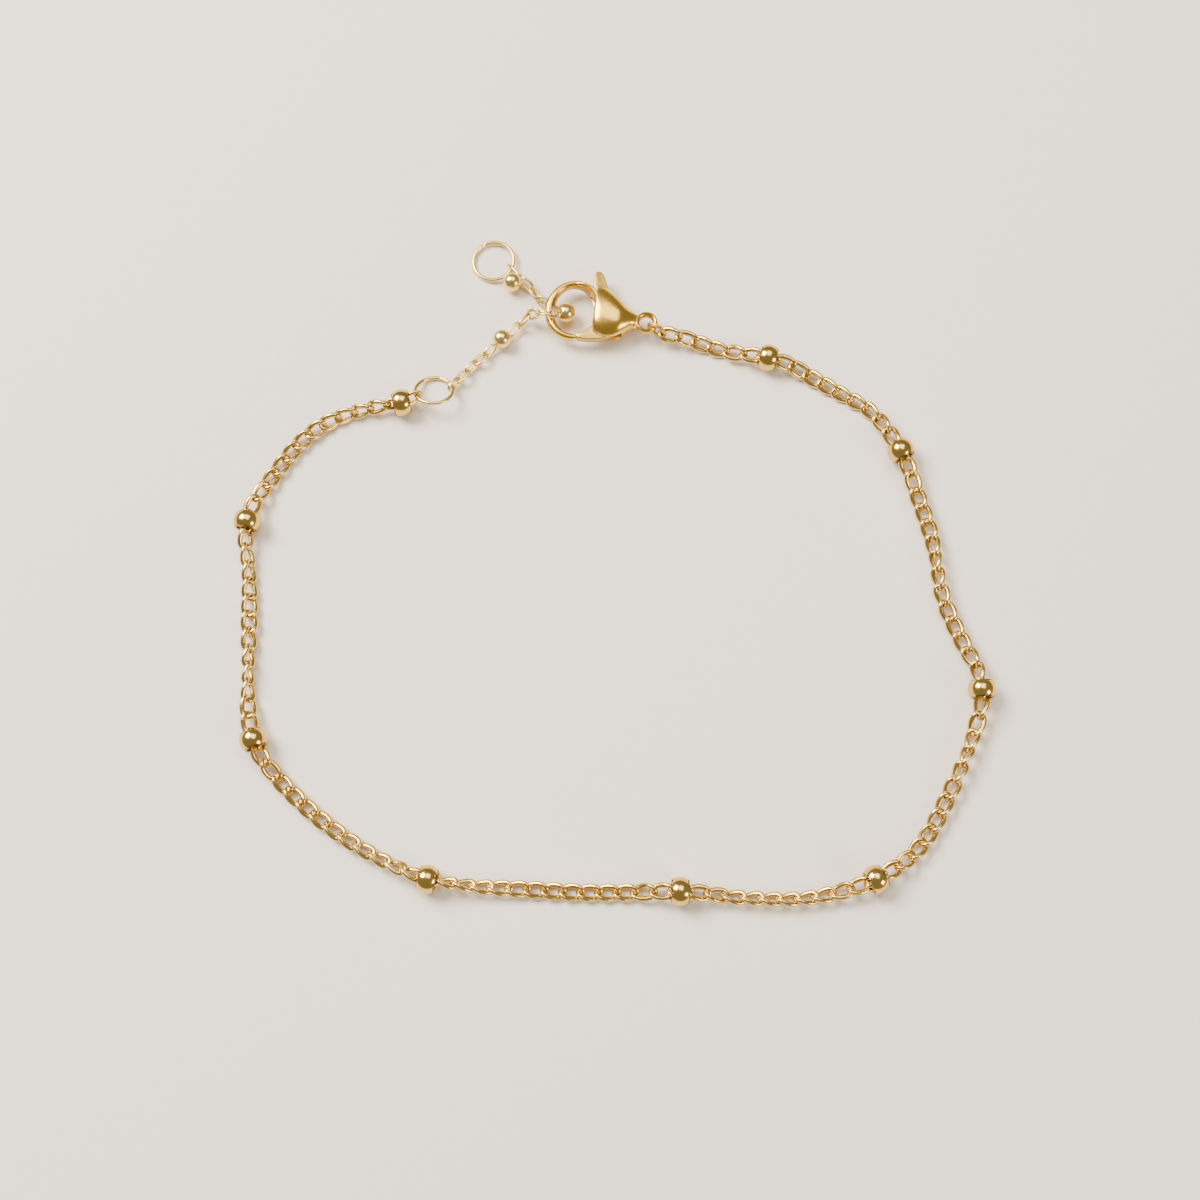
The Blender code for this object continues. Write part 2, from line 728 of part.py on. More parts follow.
def add_body(bm):
    """The clasp's egg-shaped body, lofted through its sections and flattened on its two sides."""
    rings = []
    for along, low, high, thick in BODY_SECTIONS:
        middle = (low + high) / 2 * BODY_HEIGHT
        half_height = (high - low) / 2 * BODY_HEIGHT
        ring = []
        for side in range(BODY_SIDES):
            angle = math.tau * (side + 0.5) / BODY_SIDES
            out = math.copysign(abs(math.cos(angle)) ** 0.85, math.cos(angle))
            rise = math.copysign(abs(math.sin(angle)) ** 0.85, math.sin(angle))
            z = rise * thick * BODY_THICKNESS / 2
            flat = BODY_OVER_FLATS / 2
            x = BODY_START + along * BODY_LENGTH
            ring.append(Vector((x, middle + out * half_height, min(max(z, -flat), flat))))
        rings.append(ring)
    add_tube(bm, rings, closed=False)


def add_hook(bm):
    """The hook: a bar of changing section round an oval, from inside the body to the slanted tip."""
    table = np.array(HOOK_SECTIONS, float)
    rings = []
    for step in range(HOOK_STEPS + 1):
        degrees = HOOK_FIRST_ANGLE + (HOOK_TIP_ANGLE - HOOK_FIRST_ANGLE) * step / HOOK_STEPS
        angle = math.radians(degrees)
        middle = Vector((HOOK_CENTRE[0], HOOK_CENTRE[1], 0))
        middle += Vector((HOOK_REACH * math.cos(angle), HOOK_RISE * math.sin(angle), 0))
        outward = Vector((HOOK_RISE * math.cos(angle), HOOK_REACH * math.sin(angle), 0)).normalized()
        width = np.interp(degrees, table[:, 0], table[:, 1]) * HOOK_BAR / 2
        thickness = np.interp(degrees, table[:, 0], table[:, 2]) * HOOK_THICKNESS / 2
        ring = oval_ring(middle, outward, width, thickness, HOOK_SIDES)
        if step == HOOK_STEPS:
            onward = UP.cross(outward)
            ring = [p + onward * (p - middle).dot(outward) * math.tan(HOOK_TIP_SLANT) for p in ring]
        rings.append(ring)
    add_tube(bm, rings, closed=False)


def add_tail(bm):
    """The eye at the clasp's tail, which the small ring goes through."""
    radius = (TAIL_DIAMETER - TAIL_BAR) / 2
    rings = []
    for step in range(TAIL_STEPS):
        angle = math.tau * step / TAIL_STEPS
        outward = Vector((math.cos(angle), math.sin(angle), 0))
        middle = Vector((*TAIL_CENTRE, 0)) + outward * radius
        rings.append(oval_ring(middle, outward, TAIL_BAR / 2, TAIL_THICKNESS / 2, TAIL_SIDES))
    add_tube(bm, rings, closed=True)


def extruded(name, outline, thickness, material, parent):
    """A flat plate with this outline, centred on the clasp's plane."""
    bm = bmesh.new()
    bottom = bm.faces.new([bm.verts.new((x, y, -thickness / 2)) for x, y in outline])
    made = bmesh.ops.extrude_face_region(bm, geom=[bottom])
    moved = [item for item in made["geom"] if isinstance(item, bmesh.types.BMVert)]
    bmesh.ops.translate(bm, vec=(0, 0, thickness), verts=moved)
    return new_object(name, bm, material, parent)


def pin(name, diameter, length, place, sides, material, parent):
    """A round pin through the clasp's thickness."""
    bm = bmesh.new()
    bmesh.ops.create_cone(
        bm, cap_ends=True, segments=sides, radius1=diameter / 2, radius2=diameter / 2, depth=length
    )
    return new_object(name, bm, material, parent, Matrix.Translation((*place, 0)))


def build_clasp(body_gold, lever_gold, parent):
    """The lobster clasp: hollow body with its hook and tail, sprung lever and rivet."""
    clasp = bpy.data.objects.new("clasp", None)
    bpy.context.scene.collection.objects.link(clasp)
    clasp.parent = parent
    clasp.matrix_local = clasp_matrix()

    shapes = []
    for name, add in (("claw_body", add_body), ("claw_hook", add_hook), ("claw_tail", add_tail)):
        bm = bmesh.new()
        add(bm)
        shapes.append(new_object(name, bm, body_gold, clasp))
    body, hook, tail = shapes
    boolean(body, hook, "UNION")
    boolean(body, tail, "UNION")
    slot_outline = [(BODY_START + x * BODY_LENGTH, y * BODY_HEIGHT) for x, y in SLOT_OUTLINE]
    slot_width = LEVER_THICKNESS + 2 * LEVER_CLEARANCE
    boolean(body, extruded("lever_slot", slot_outline, slot_width, body_gold, clasp), "DIFFERENCE")
    hole = RIVET_DIAMETER + 2 * RIVET_CLEARANCE
    drill = pin("rivet_drill", hole, 2 * BODY_THICKNESS, PIVOT, 12, body_gold, clasp)
    boolean(body, drill, "DIFFERENCE")

    outline = [(x * HOOK_REACH, y * BODY_HEIGHT) for x, y in LEVER_OUTLINE]
    lever = extruded("clasp_lever", outline, LEVER_THICKNESS, lever_gold, clasp)
    lever.location = (*PIVOT, 0)
    boolean(lever, drill, "DIFFERENCE")

    rivet_length = BODY_OVER_FLATS - 2 * RIVET_CLEARANCE
    pin("clasp_rivet", RIVET_DIAMETER, rivet_length, PIVOT, 12, body_gold, clasp)


def stand_on_origin(frame):
    """Move the whole bracelet so that its box stands centred on the origin."""
    bpy.context.view_layer.update()
    graph = bpy.context.evaluated_depsgraph_get()
    corners = []
    for thing in bpy.context.view_layer.objects:
        if thing.type == "MESH" and not thing.hide_render:
            made = thing.evaluated_get(graph)
            points = np.empty(len(made.data.vertices) * 3)
            made.data.vertices.foreach_get("co", points)
            world = np.array(made.matrix_world)
            points = points.reshape(-1, 3) @ world[:3, :3].T + world[:3, 3]
            corners += [points.min(axis=0), points.max(axis=0)]
    low, high = np.min(corners, axis=0), np.max(corners, axis=0)
    frame.location = (-(low[0] + high[0]) / 2, -(low[1] + high[1]) / 2, -low[2])
    bpy.context.view_layer.update()


def main():
    """Build every piece and stand the bracelet on the origin."""
    clear_scene()
    frame = bpy.data.objects.new("bracelet", None)
    bpy.context.scene.collection.objects.link(frame)
    chain_gold = gold("chain gold", (0.80, 0.56, 0.22), 0.22)
    bead_gold = gold("bead gold", (0.83, 0.60, 0.25), 0.12)
    clasp_gold = gold("clasp gold", (0.82, 0.56, 0.18), 0.20)
    lever_gold = gold("lever gold", (0.78, 0.54, 0.20), 0.30)
    pale_gold = gold("pale gold", (0.86, 0.70, 0.42), 0.18)

    rings = make_rings()
    clasp_ring, jump_ring, end_ring = rings
    chain = CurbChain(clasp_ring, jump_ring)
    chain.build(chain_gold, frame)
    build_beads(chain, bead_gold, frame)
    clasp_ring.build(clasp_gold, frame)
    jump_ring.build(pale_gold, frame)
    end_ring.build(pale_gold, frame)
    build_extender(jump_ring, end_ring, pale_gold, frame)
    build_clasp(clasp_gold, lever_gold, frame)
    stand_on_origin(frame)
    print("links", chain.count, "pitch mm", round(chain.pitch / MM, 3), "moved by", frame.location)


main()
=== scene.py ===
"""Looks of the satellite chain bracelet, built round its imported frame. Lengths are in metres."""

from __future__ import annotations

import logging
import math
from collections.abc import Sequence
from dataclasses import dataclass
from enum import Enum

import bmesh
import bpy
import numpy as np
from mathutils import Matrix, Vector

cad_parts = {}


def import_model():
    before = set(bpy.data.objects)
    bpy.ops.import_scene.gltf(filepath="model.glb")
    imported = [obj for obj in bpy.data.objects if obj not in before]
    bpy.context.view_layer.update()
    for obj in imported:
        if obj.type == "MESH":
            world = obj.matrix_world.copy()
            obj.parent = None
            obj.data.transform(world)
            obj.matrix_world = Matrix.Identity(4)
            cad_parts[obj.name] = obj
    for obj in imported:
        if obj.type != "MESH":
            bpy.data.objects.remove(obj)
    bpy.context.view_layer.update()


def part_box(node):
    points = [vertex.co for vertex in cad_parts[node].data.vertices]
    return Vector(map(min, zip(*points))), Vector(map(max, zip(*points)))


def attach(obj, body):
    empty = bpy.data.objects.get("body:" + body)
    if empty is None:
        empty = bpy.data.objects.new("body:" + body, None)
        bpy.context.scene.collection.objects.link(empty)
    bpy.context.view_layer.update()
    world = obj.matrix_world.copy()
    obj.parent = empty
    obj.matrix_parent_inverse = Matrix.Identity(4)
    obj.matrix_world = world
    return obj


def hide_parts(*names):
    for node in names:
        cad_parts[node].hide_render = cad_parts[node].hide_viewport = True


LOG = logging.getLogger("bracelet")
MM = 0.001
UP = Vector((0, 0, 1))

# The frame's own links: the sides of their wire, the steps round one link, how blunt their outline
# is, how far their wire's corners stand out, and the room past the neighbour's wire
FRAME_WIRE_SIDES = 5
FRAME_LINK_STEPS = 10
FRAME_LINK_BLUNTNESS = 0.85
FRAME_CORNER_SHARE = 1.08
FRAME_REACH_ROOM = 0.03 * MM

# The clasp's place and heading, before the shift to the frame's own place
CLASP_PLACE = (-0.61 * MM, 22.03 * MM, 1.38 * MM)
CLASP_HEADING = math.radians(-6.7)

# The ring in the clasp's tail eye: its diameter, how far it lies from the eye's middle and below it,
# which way it heads, and where it is cut
TAIL_RING_DIAMETER = 2.00 * MM
TAIL_RING_AWAY = 1.12 * MM
TAIL_RING_SINK = 0.08 * MM
TAIL_RING_HEADING = math.radians(-32)
TAIL_RING_CUT = math.radians(55)

# The ring between the two chains, and the one at the extender's free end: the diameter, the middle
# in millimetres, how each leans and heads, and where it is cut
CHAIN_RING_DIAMETER = 3.72 * MM
CHAIN_RING_PLACE = (-16.06, 15.25, 0.96)
CHAIN_RING_TILT = math.radians(-27)
CHAIN_RING_CUT = math.radians(75)
FREE_RING_DIAMETER = 4.04 * MM
FREE_RING_PLACE = (-11.00, 28.05, 0.36)
FREE_RING_TILT = math.radians(-5)
FREE_RING_HEADING = math.radians(90)
FREE_RING_CUT = math.radians(28)

# What the camera looks at, before the shift
CAMERA_AIM = (-1.33 * MM, -3.74 * MM, 0)


class Body(Enum):
    """The rigid bodies that pieces ride on."""

    BRACELET = "bracelet"
    LEVER = "lever"


class Slot(Enum):
    """The record's material slots."""

    CHAIN = "chain_gold"
    BEAD = "bead_gold"
    CLASP = "clasp_gold"
    LEVER = "lever_gold"
    PALE = "pale_gold"


class Operation(Enum):
    """What a Boolean does to the piece."""

    JOIN = "UNION"
    CUT = "DIFFERENCE"
    KEEP = "INTERSECT"


# Curb chain's route on the surface, from the clasp round to the extender. The columns are x and y
# in millimetres, the roll of the chain there in degrees, and on the nine rows that carry a bead, how
# far it has slid from the middle of its link in millimetres. It is the route of the frame's chain.
CURB_ROUTE = (
    (6.7, 20.1, 20, None),
    (8.9, 19.4, 50, None),
    (11.2, 18.75, 20, None),
    (13.6, 18.3, 0, 0.0),
    (16.0, 17.5, 15, None),
    (20.3, 14.9, 55, None),
    (22.3, 13.75, 60, None),
    (23.65, 12.2, 45, None),
    (25.4, 8.85, 10, 0.0),
    (26.2, 6.6, 20, None),
    (27.5, 2.0, 25, None),
    (27.8, -0.3, 70, None),
    (28.05, -2.6, 55, None),
    (28.6, -4.75, 15, None),
    (30.0, -8.2, 30, None),
    (30.75, -9.7, 50, None),
    (31.05, -11.3, 60, 0.0),
    (31.05, -13.15, 50, None),
    (30.6, -14.8, 15, None),
    (30.0, -16.55, 60, None),
    (29.2, -18.3, 70, None),
    (28.3, -20.2, 25, None),
    (26.5, -23.6, 10, None),
    (25.2, -25.35, 20, None),
    (23.85, -26.6, 20, None),
    (22.1, -27.6, 10, 0.0),
    (20.2, -28.5, 10, None),
    (15.6, -29.5, 45, None),
    (10.65, -29.45, 45, None),
    (8.15, -29.2, 30, None),
    (5.2, -28.95, 0, 0.0),
    (-2.2, -29.0, 0, None),
    (-7.1, -28.75, 0, None),
    (-11.7, -28.5, 45, None),
    (-13.8, -28.25, 60, None),
    (-16.05, -27.8, 50, 0.0),
    (-19.85, -26.1, 45, None),
    (-23.4, -23.9, 20, None),
    (-26.7, -21.2, 0, None),
    (-29.5, -18.2, 0, None),
    (-30.6, -16.15, 0, 0.0),
    (-31.1, -14.0, 5, None),
    (-31.3, -11.85, 60, None),
    (-31.35, -9.65, 80, None),
    (-31.5, -6.0, 15, None),
    (-31.6, -3.0, 40, None),
    (-31.8, -0.75, 60, None),
    (-32.15, 1.5, 45, None),
    (-31.9, 3.55, 20, 0.0),
    (-31.1, 5.7, 0, None),
    (-29.0, 9.0, 5, None),
    (-27.85, 10.5, 10, None),
    (-26.4, 11.75, 20, None),
    (-24.75, 12.7, 50, None),
    (-22.6, 13.4, 65, None),
    (-20.4, 13.8, 60, None),
    (-18.6, 14.1, 40, 0.55),
)

# The extender's balls, and its runs between them and the rings, in millimetres
EXTENDER_BALLS = (
    (-10.12, 20.22, 0.88),
    (-4.38, 22.62, 1.15),
    (-9.25, 25.75, 0.88),
)
EXTENDER_RUNS = (
    ((-13.8, 16.55, 0.60), (-12.75, 17.75, 0.56), (-11.3, 19.05, 0.60)),
    (
        (-9.0, 21.05, 0.60),
        (-8.4, 21.85, 0.75),
        (-7.75, 22.35, 1.15),
        (-7.1, 22.35, 1.75),
        (-6.4, 22.1, 2.26),
        (-5.85, 22.05, 2.43),
        (-5.2, 22.25, 2.20),
    ),
    (
        (-4.95, 23.05, 0.45),
        (-5.75, 23.65, 0.43),
        (-6.6, 24.0, 0.44),
        (-7.35, 24.9, 0.50),
        (-7.8, 25.7, 0.60),
        (-8.3, 26.0, 0.75),
    ),
    ((-8.55, 26.4, 0.85),),
)
EXTENDER_ROLLS = (None, 45, 45, None)

# Body of the clasp from its mouth to its neck, in millimetres in the clasp's own axes: the place
# along it, its lower and upper edge, and its thickness
BODY_SECTIONS = (
    (-1.30, -1.55, 2.95, 2.14),
    (-1.12, -1.84, 2.98, 2.42),
    (-0.60, -2.05, 2.90, 2.64),
    (0.20, -2.10, 2.40, 2.74),
    (1.00, -1.85, 1.72, 2.60),
    (1.70, -1.30, 1.06, 2.06),
    (2.21, -0.85, 0.75, 1.56),
    (2.60, -0.75, 0.60, 1.24),
)

# The hook's bar round its oval: the angle in degrees, and its width and thickness in millimetres
HOOK_SECTIONS = (
    (20, 0.73, 2.26),
    (55, 0.71, 2.14),
    (68, 0.68, 1.74),
    (80, 0.65, 1.33),
    (95, 0.65, 1.10),
    (130, 0.76, 0.98),
    (175, 0.93, 0.92),
    (230, 0.76, 0.92),
    (261, 0.62, 0.88),
    (280, 0.56, 0.80),
)

# Outline of the lever from the gate's tip round the barrel to the thumb nub and back, in
# millimetres from its pivot
LEVER_OUTLINE = (
    (-2.63, -1.65),
    (-1.76, -1.67),
    (-0.75, -1.53),
    (0.13, -1.20),
    (0.55, -0.60),
    (0.73, 0.05),
    (0.48, 0.60),
    (-0.48, 3.59),
    (-0.90, 4.60),
    (-1.20, 4.97),
    (-1.60, 5.00),
    (-1.87, 4.65),
    (-1.83, 3.73),
    (-0.92, 0.30),
    (-1.45, -0.25),
    (-2.16, -0.90),
    (-2.93, -1.21),
)

# Outline of the slot that the lever swings in, in millimetres in the clasp's own axes
SLOT_OUTLINE = (
    (-1.82, 5.0),
    (-1.82, 1.7),
    (-2.20, 1.5),
    (-2.20, -3.5),
    (1.30, -3.5),
    (1.45, -0.6),
    (1.35, 0.9),
    (1.30, 5.0),
)


def deselect_all() -> None:
    """Leave edit mode and deselect every object."""
    if bpy.context.object and bpy.context.object.mode != "OBJECT":
        bpy.ops.object.mode_set(mode="OBJECT")
    bpy.ops.object.select_all(action="DESELECT")


def select_only(piece: bpy.types.Object) -> None:
    """Make one object the selected and active one.

    Args:
        piece: The object.
    """
    deselect_all()
    piece.select_set(True)
    bpy.context.view_layer.objects.active = piece


def settle(piece: bpy.types.Object, matrix: Matrix | None = None) -> bpy.types.Object:
    """Put a piece's place into its mesh and leave its object at the origin.

    Args:
        piece: The object to settle.
        matrix: Where its finished mesh goes, if it was modelled about its own origin.

    Returns:
        The same object.
    """
    select_only(piece)
    bpy.ops.object.transform_apply(location=True, rotation=True, scale=True)
    if matrix is not None:
        piece.data.transform(matrix)
    return piece


def apply_modifiers(piece: bpy.types.Object) -> None:
    """Apply every modifier on a piece, in order.

    Args:
        piece: The piece.
    """
    select_only(piece)
    for modifier in list(piece.modifiers):
        bpy.ops.object.modifier_apply(modifier=modifier.name)


def tidy_normals(piece: bpy.types.Object, merge: float = 0.0005 * MM) -> None:
    """Merge doubled points and point every face outwards.

    Args:
        piece: The piece.
        merge: How near two points lie that become one.
    """
    select_only(piece)
    bpy.ops.object.mode_set(mode="EDIT")
    bpy.ops.mesh.select_all(action="SELECT")
    bpy.ops.mesh.remove_doubles(threshold=merge)
    bpy.ops.mesh.normals_make_consistent(inside=False)
    bpy.ops.object.mode_set(mode="OBJECT")


def smooth(piece: bpy.types.Object, degrees: float = 40) -> None:
    """Shade a piece smooth, with its edges sharp past an angle."""
    select_only(piece)
    bpy.ops.object.shade_smooth_by_angle(angle=math.radians(degrees))


def bevel(piece: bpy.types.Object, width: float, segments: int, degrees: float) -> None:
    """Round the edges of a piece that turn by more than an angle.

    Args:
        piece: The piece.
        width: The bevel's width.
        segments: How many faces it has across.
        degrees: The least angle of an edge that it rounds.
    """
    modifier = piece.modifiers.new("soft edges", "BEVEL")
    modifier.width = width
    modifier.segments = segments
    modifier.limit_method = "ANGLE"
    modifier.angle_limit = math.radians(degrees)
    apply_modifiers(piece)


def combine(piece: bpy.types.Object, tool: bpy.types.Object, operation: Operation) -> None:
    """Join a piece with a tool or cut it by one, and remove the tool.

    Args:
        piece: The piece that stays.
        tool: The other solid.
        operation: Whether the tool is joined, cut out or kept in common.
    """
    modifier = piece.modifiers.new(operation.value.lower(), "BOOLEAN")
    modifier.operation = operation.value
    modifier.solver = "EXACT"
    modifier.object = tool
    apply_modifiers(piece)
    bpy.data.objects.remove(tool)


def stamp(name: str, master: bpy.types.Object, places: Sequence[Matrix]) -> bpy.types.Object:
    """Copy one modelled shape to many places and join the copies into one piece.

    Args:
        name: The new piece's name.
        master: The modelled shape, about its own origin. It is kept.
        places: Where each copy goes.

    Returns:
        The joined piece.
    """
    deselect_all()
    copies = []
    for place in places:
        mesh = master.data.copy()
        mesh.transform(place)
        copy = bpy.data.objects.new(name, mesh)
        bpy.context.scene.collection.objects.link(copy)
        copy.select_set(True)
        copies.append(copy)
    bpy.context.view_layer.objects.active = copies[0]
    if len(copies) > 1:
        bpy.ops.object.join()
    piece = bpy.context.view_layer.objects.active
    piece.name = name
    return piece


def extrude_through(name: str, rings: Sequence[Sequence[Vector]]) -> bpy.types.Object:
    """Model a solid by extruding a face from one ring of points to the next.

    Args:
        name: The new piece's name.
        rings: Rings with the same number of points, in order along the piece.

    Returns:
        A closed piece with a face over its first and last ring.
    """
    deselect_all()
    bpy.ops.mesh.primitive_circle_add(vertices=len(rings[0]), radius=MM, fill_type="NGON")
    piece = bpy.context.object
    piece.name = name
    for vertex, point in zip(piece.data.vertices, rings[0]):
        vertex.co = point
    bpy.ops.object.mode_set(mode="EDIT")
    bpy.ops.mesh.select_mode(type="FACE")
    bpy.ops.mesh.select_all(action="SELECT")
    for before, after in zip(rings, rings[1:]):
        bpy.ops.mesh.extrude_region_move()
        edited = bmesh.from_edit_mesh(piece.data)
        stack = np.array([tuple(point) for point in before])
        for vertex in [v for v in edited.verts if v.select]:
            number = int(np.argmin(((stack - np.array(vertex.co)) ** 2).sum(axis=1)))
            vertex.co = after[number]
        bmesh.update_edit_mesh(piece.data)
    bpy.ops.object.mode_set(mode="OBJECT")
    tidy_normals(piece)
    return piece


def plate(name: str, outline: Sequence[tuple[float, float]], thickness: float) -> bpy.types.Object:
    """Model a flat plate with an outline given in metres, centred on its own plane."""
    rings = [[Vector((x, y, side * thickness / 2)) for x, y in outline] for side in (-1, 1)]
    return extrude_through(name, rings)


class Path:
    """A smooth curve through chosen points, read by the distance along it."""

    STEPS = 24

    def __init__(self, points: Sequence[Sequence[float]]) -> None:
        """Lay the curve.

        Args:
            points: The chosen points, in order.
        """
        chosen = np.array([tuple(point) for point in points], float)
        padded = np.vstack([2 * chosen[0] - chosen[1], chosen, 2 * chosen[-1] - chosen[-2]])
        share = np.arange(self.STEPS)[:, None] / self.STEPS
        spans = [self.span(*padded[i : i + 4], share) for i in range(len(chosen) - 1)]
        self.points = np.vstack(spans + [chosen[-1:]])
        steps = np.linalg.norm(np.diff(self.points, axis=0), axis=1)
        self.distances = np.concatenate([[0], np.cumsum(steps)])
        self.length = float(self.distances[-1])
        self.marks = self.distances[:: self.STEPS]

    @staticmethod
    def span(
        before: np.ndarray, first: np.ndarray, last: np.ndarray, after: np.ndarray, share: np.ndarray
    ) -> np.ndarray:
        """Work out one stretch between two chosen points, tangent to its neighbours.

        Args:
            before: The chosen point before the stretch.
            first: Where the stretch starts.
            last: Where it ends.
            after: The chosen point after it.
            share: How far along it each wanted point lies, from 0 to 1.

        Returns:
            The stretch's points, one row each.
        """
        start, end = (last - before) / 2, (after - first) / 2
        bend = 2 * first - 2 * last + start + end
        return first + share * (start + share * (3 * (last - first) - 2 * start - end + share * bend))

    def at(self, distance: float) -> Vector:
        """Read the curve at a distance, carried straight on past either end.

        Args:
            distance: The distance from its start.

        Returns:
            The point there.
        """
        inside = min(max(distance, 0), self.length)
        point = np.array([np.interp(inside, self.distances, column) for column in self.points.T])
        if distance < 0:
            step = self.points[1] - self.points[0]
        else:
            step = self.points[-1] - self.points[-2]
        return Vector(point + step / np.linalg.norm(step) * (distance - inside))


def frame_reach(wire: float) -> float:
    """How far a link in the frame reaches past where it meets its neighbour."""
    return wire / 2 * (FRAME_CORNER_SHARE * math.cos(math.pi / FRAME_WIRE_SIDES)) + FRAME_REACH_ROOM


def link_place(start: Vector, end: Vector, roll: float, pitch: float, width: float = 1.0) -> Matrix:
    """Where a link that was modelled about the origin along X goes.

    Args:
        start: Where the link meets the one before.
        end: Where it meets the next one.
        roll: Its turn about its own length, in radians.
        pitch: The distance between the two that it was modelled with.
        width: How wide it is, as a share of its modelled width.

    Returns:
        The link's place.
    """
    axis = (end - start).normalized()
    side = UP.cross(axis).normalized()
    basis = Matrix((axis, side, axis.cross(side))).transposed().to_4x4()
    scale = Matrix.Diagonal(((end - start).length / pitch, width, width, 1))
    return Matrix.Translation((start + end) / 2) @ basis @ Matrix.Rotation(roll, 4, "X") @ scale


# How many polishing marks lie across one patch of tone, how they stretch, how strongly they show,
# and the range of pointiness over which an edge turns to worn metal
MARKS_PER_PATCH = 2.5
MARK_STRETCH = (1.0, 2.2, 1.4)
MARK_STRENGTH = 0.5
EDGE_RANGE = (0.53, 0.68)


@dataclass(frozen=True)
class Finish:
    """A polished gold with its own tone and polish.

    Attributes:
        name: The material's name.
        bright: Its colour where it is clean and polished.
        deep: Its colour where it is duller.
        polish: Its least and greatest roughness.
        grain: How fine its unevenness is, in patches per metre.
        scratches: How deep the fine scratches are, in metres.
        worn: Its colour along worn edges.
    """

    name: str
    bright: tuple[float, float, float]
    deep: tuple[float, float, float]
    polish: tuple[float, float]
    grain: float
    scratches: float
    worn: tuple[float, float, float]

    def build(self, groups: FinishGroups) -> bpy.types.Material:
        """Make the material from the shared node groups.

        Args:
            groups: The shared groups.

        Returns:
            The finished material.
        """
        material = bpy.data.materials.new(self.name)
        material.use_nodes = True
        nodes, links = material.node_tree.nodes, material.node_tree.links
        shader = nodes["Principled BSDF"]
        shader.inputs["Metallic"].default_value = 1
        tone = groups.place(nodes, groups.tone)
        tone.inputs["Bright"].default_value = (*self.bright, 1)
        tone.inputs["Deep"].default_value = (*self.deep, 1)
        tone.inputs["Grain"].default_value = self.grain
        tone.inputs["Low"].default_value = self.polish[0]
        tone.inputs["High"].default_value = self.polish[1]
        wear = groups.place(nodes, groups.wear)
        wear.inputs["Worn"].default_value = (*self.worn, 1)
        scratch = groups.place(nodes, groups.scratch)
        scratch.inputs["Grain"].default_value = self.grain * MARKS_PER_PATCH
        bump = nodes.new("ShaderNodeBump")
        bump.inputs["Strength"].default_value = MARK_STRENGTH
        bump.inputs["Distance"].default_value = self.scratches
        links.new(tone.outputs["Color"], wear.inputs["Color"])
        links.new(wear.outputs["Color"], shader.inputs["Base Color"])
        links.new(tone.outputs["Roughness"], shader.inputs["Roughness"])
        links.new(scratch.outputs["Height"], bump.inputs["Height"])
        links.new(bump.outputs["Normal"], shader.inputs["Normal"])
        return material


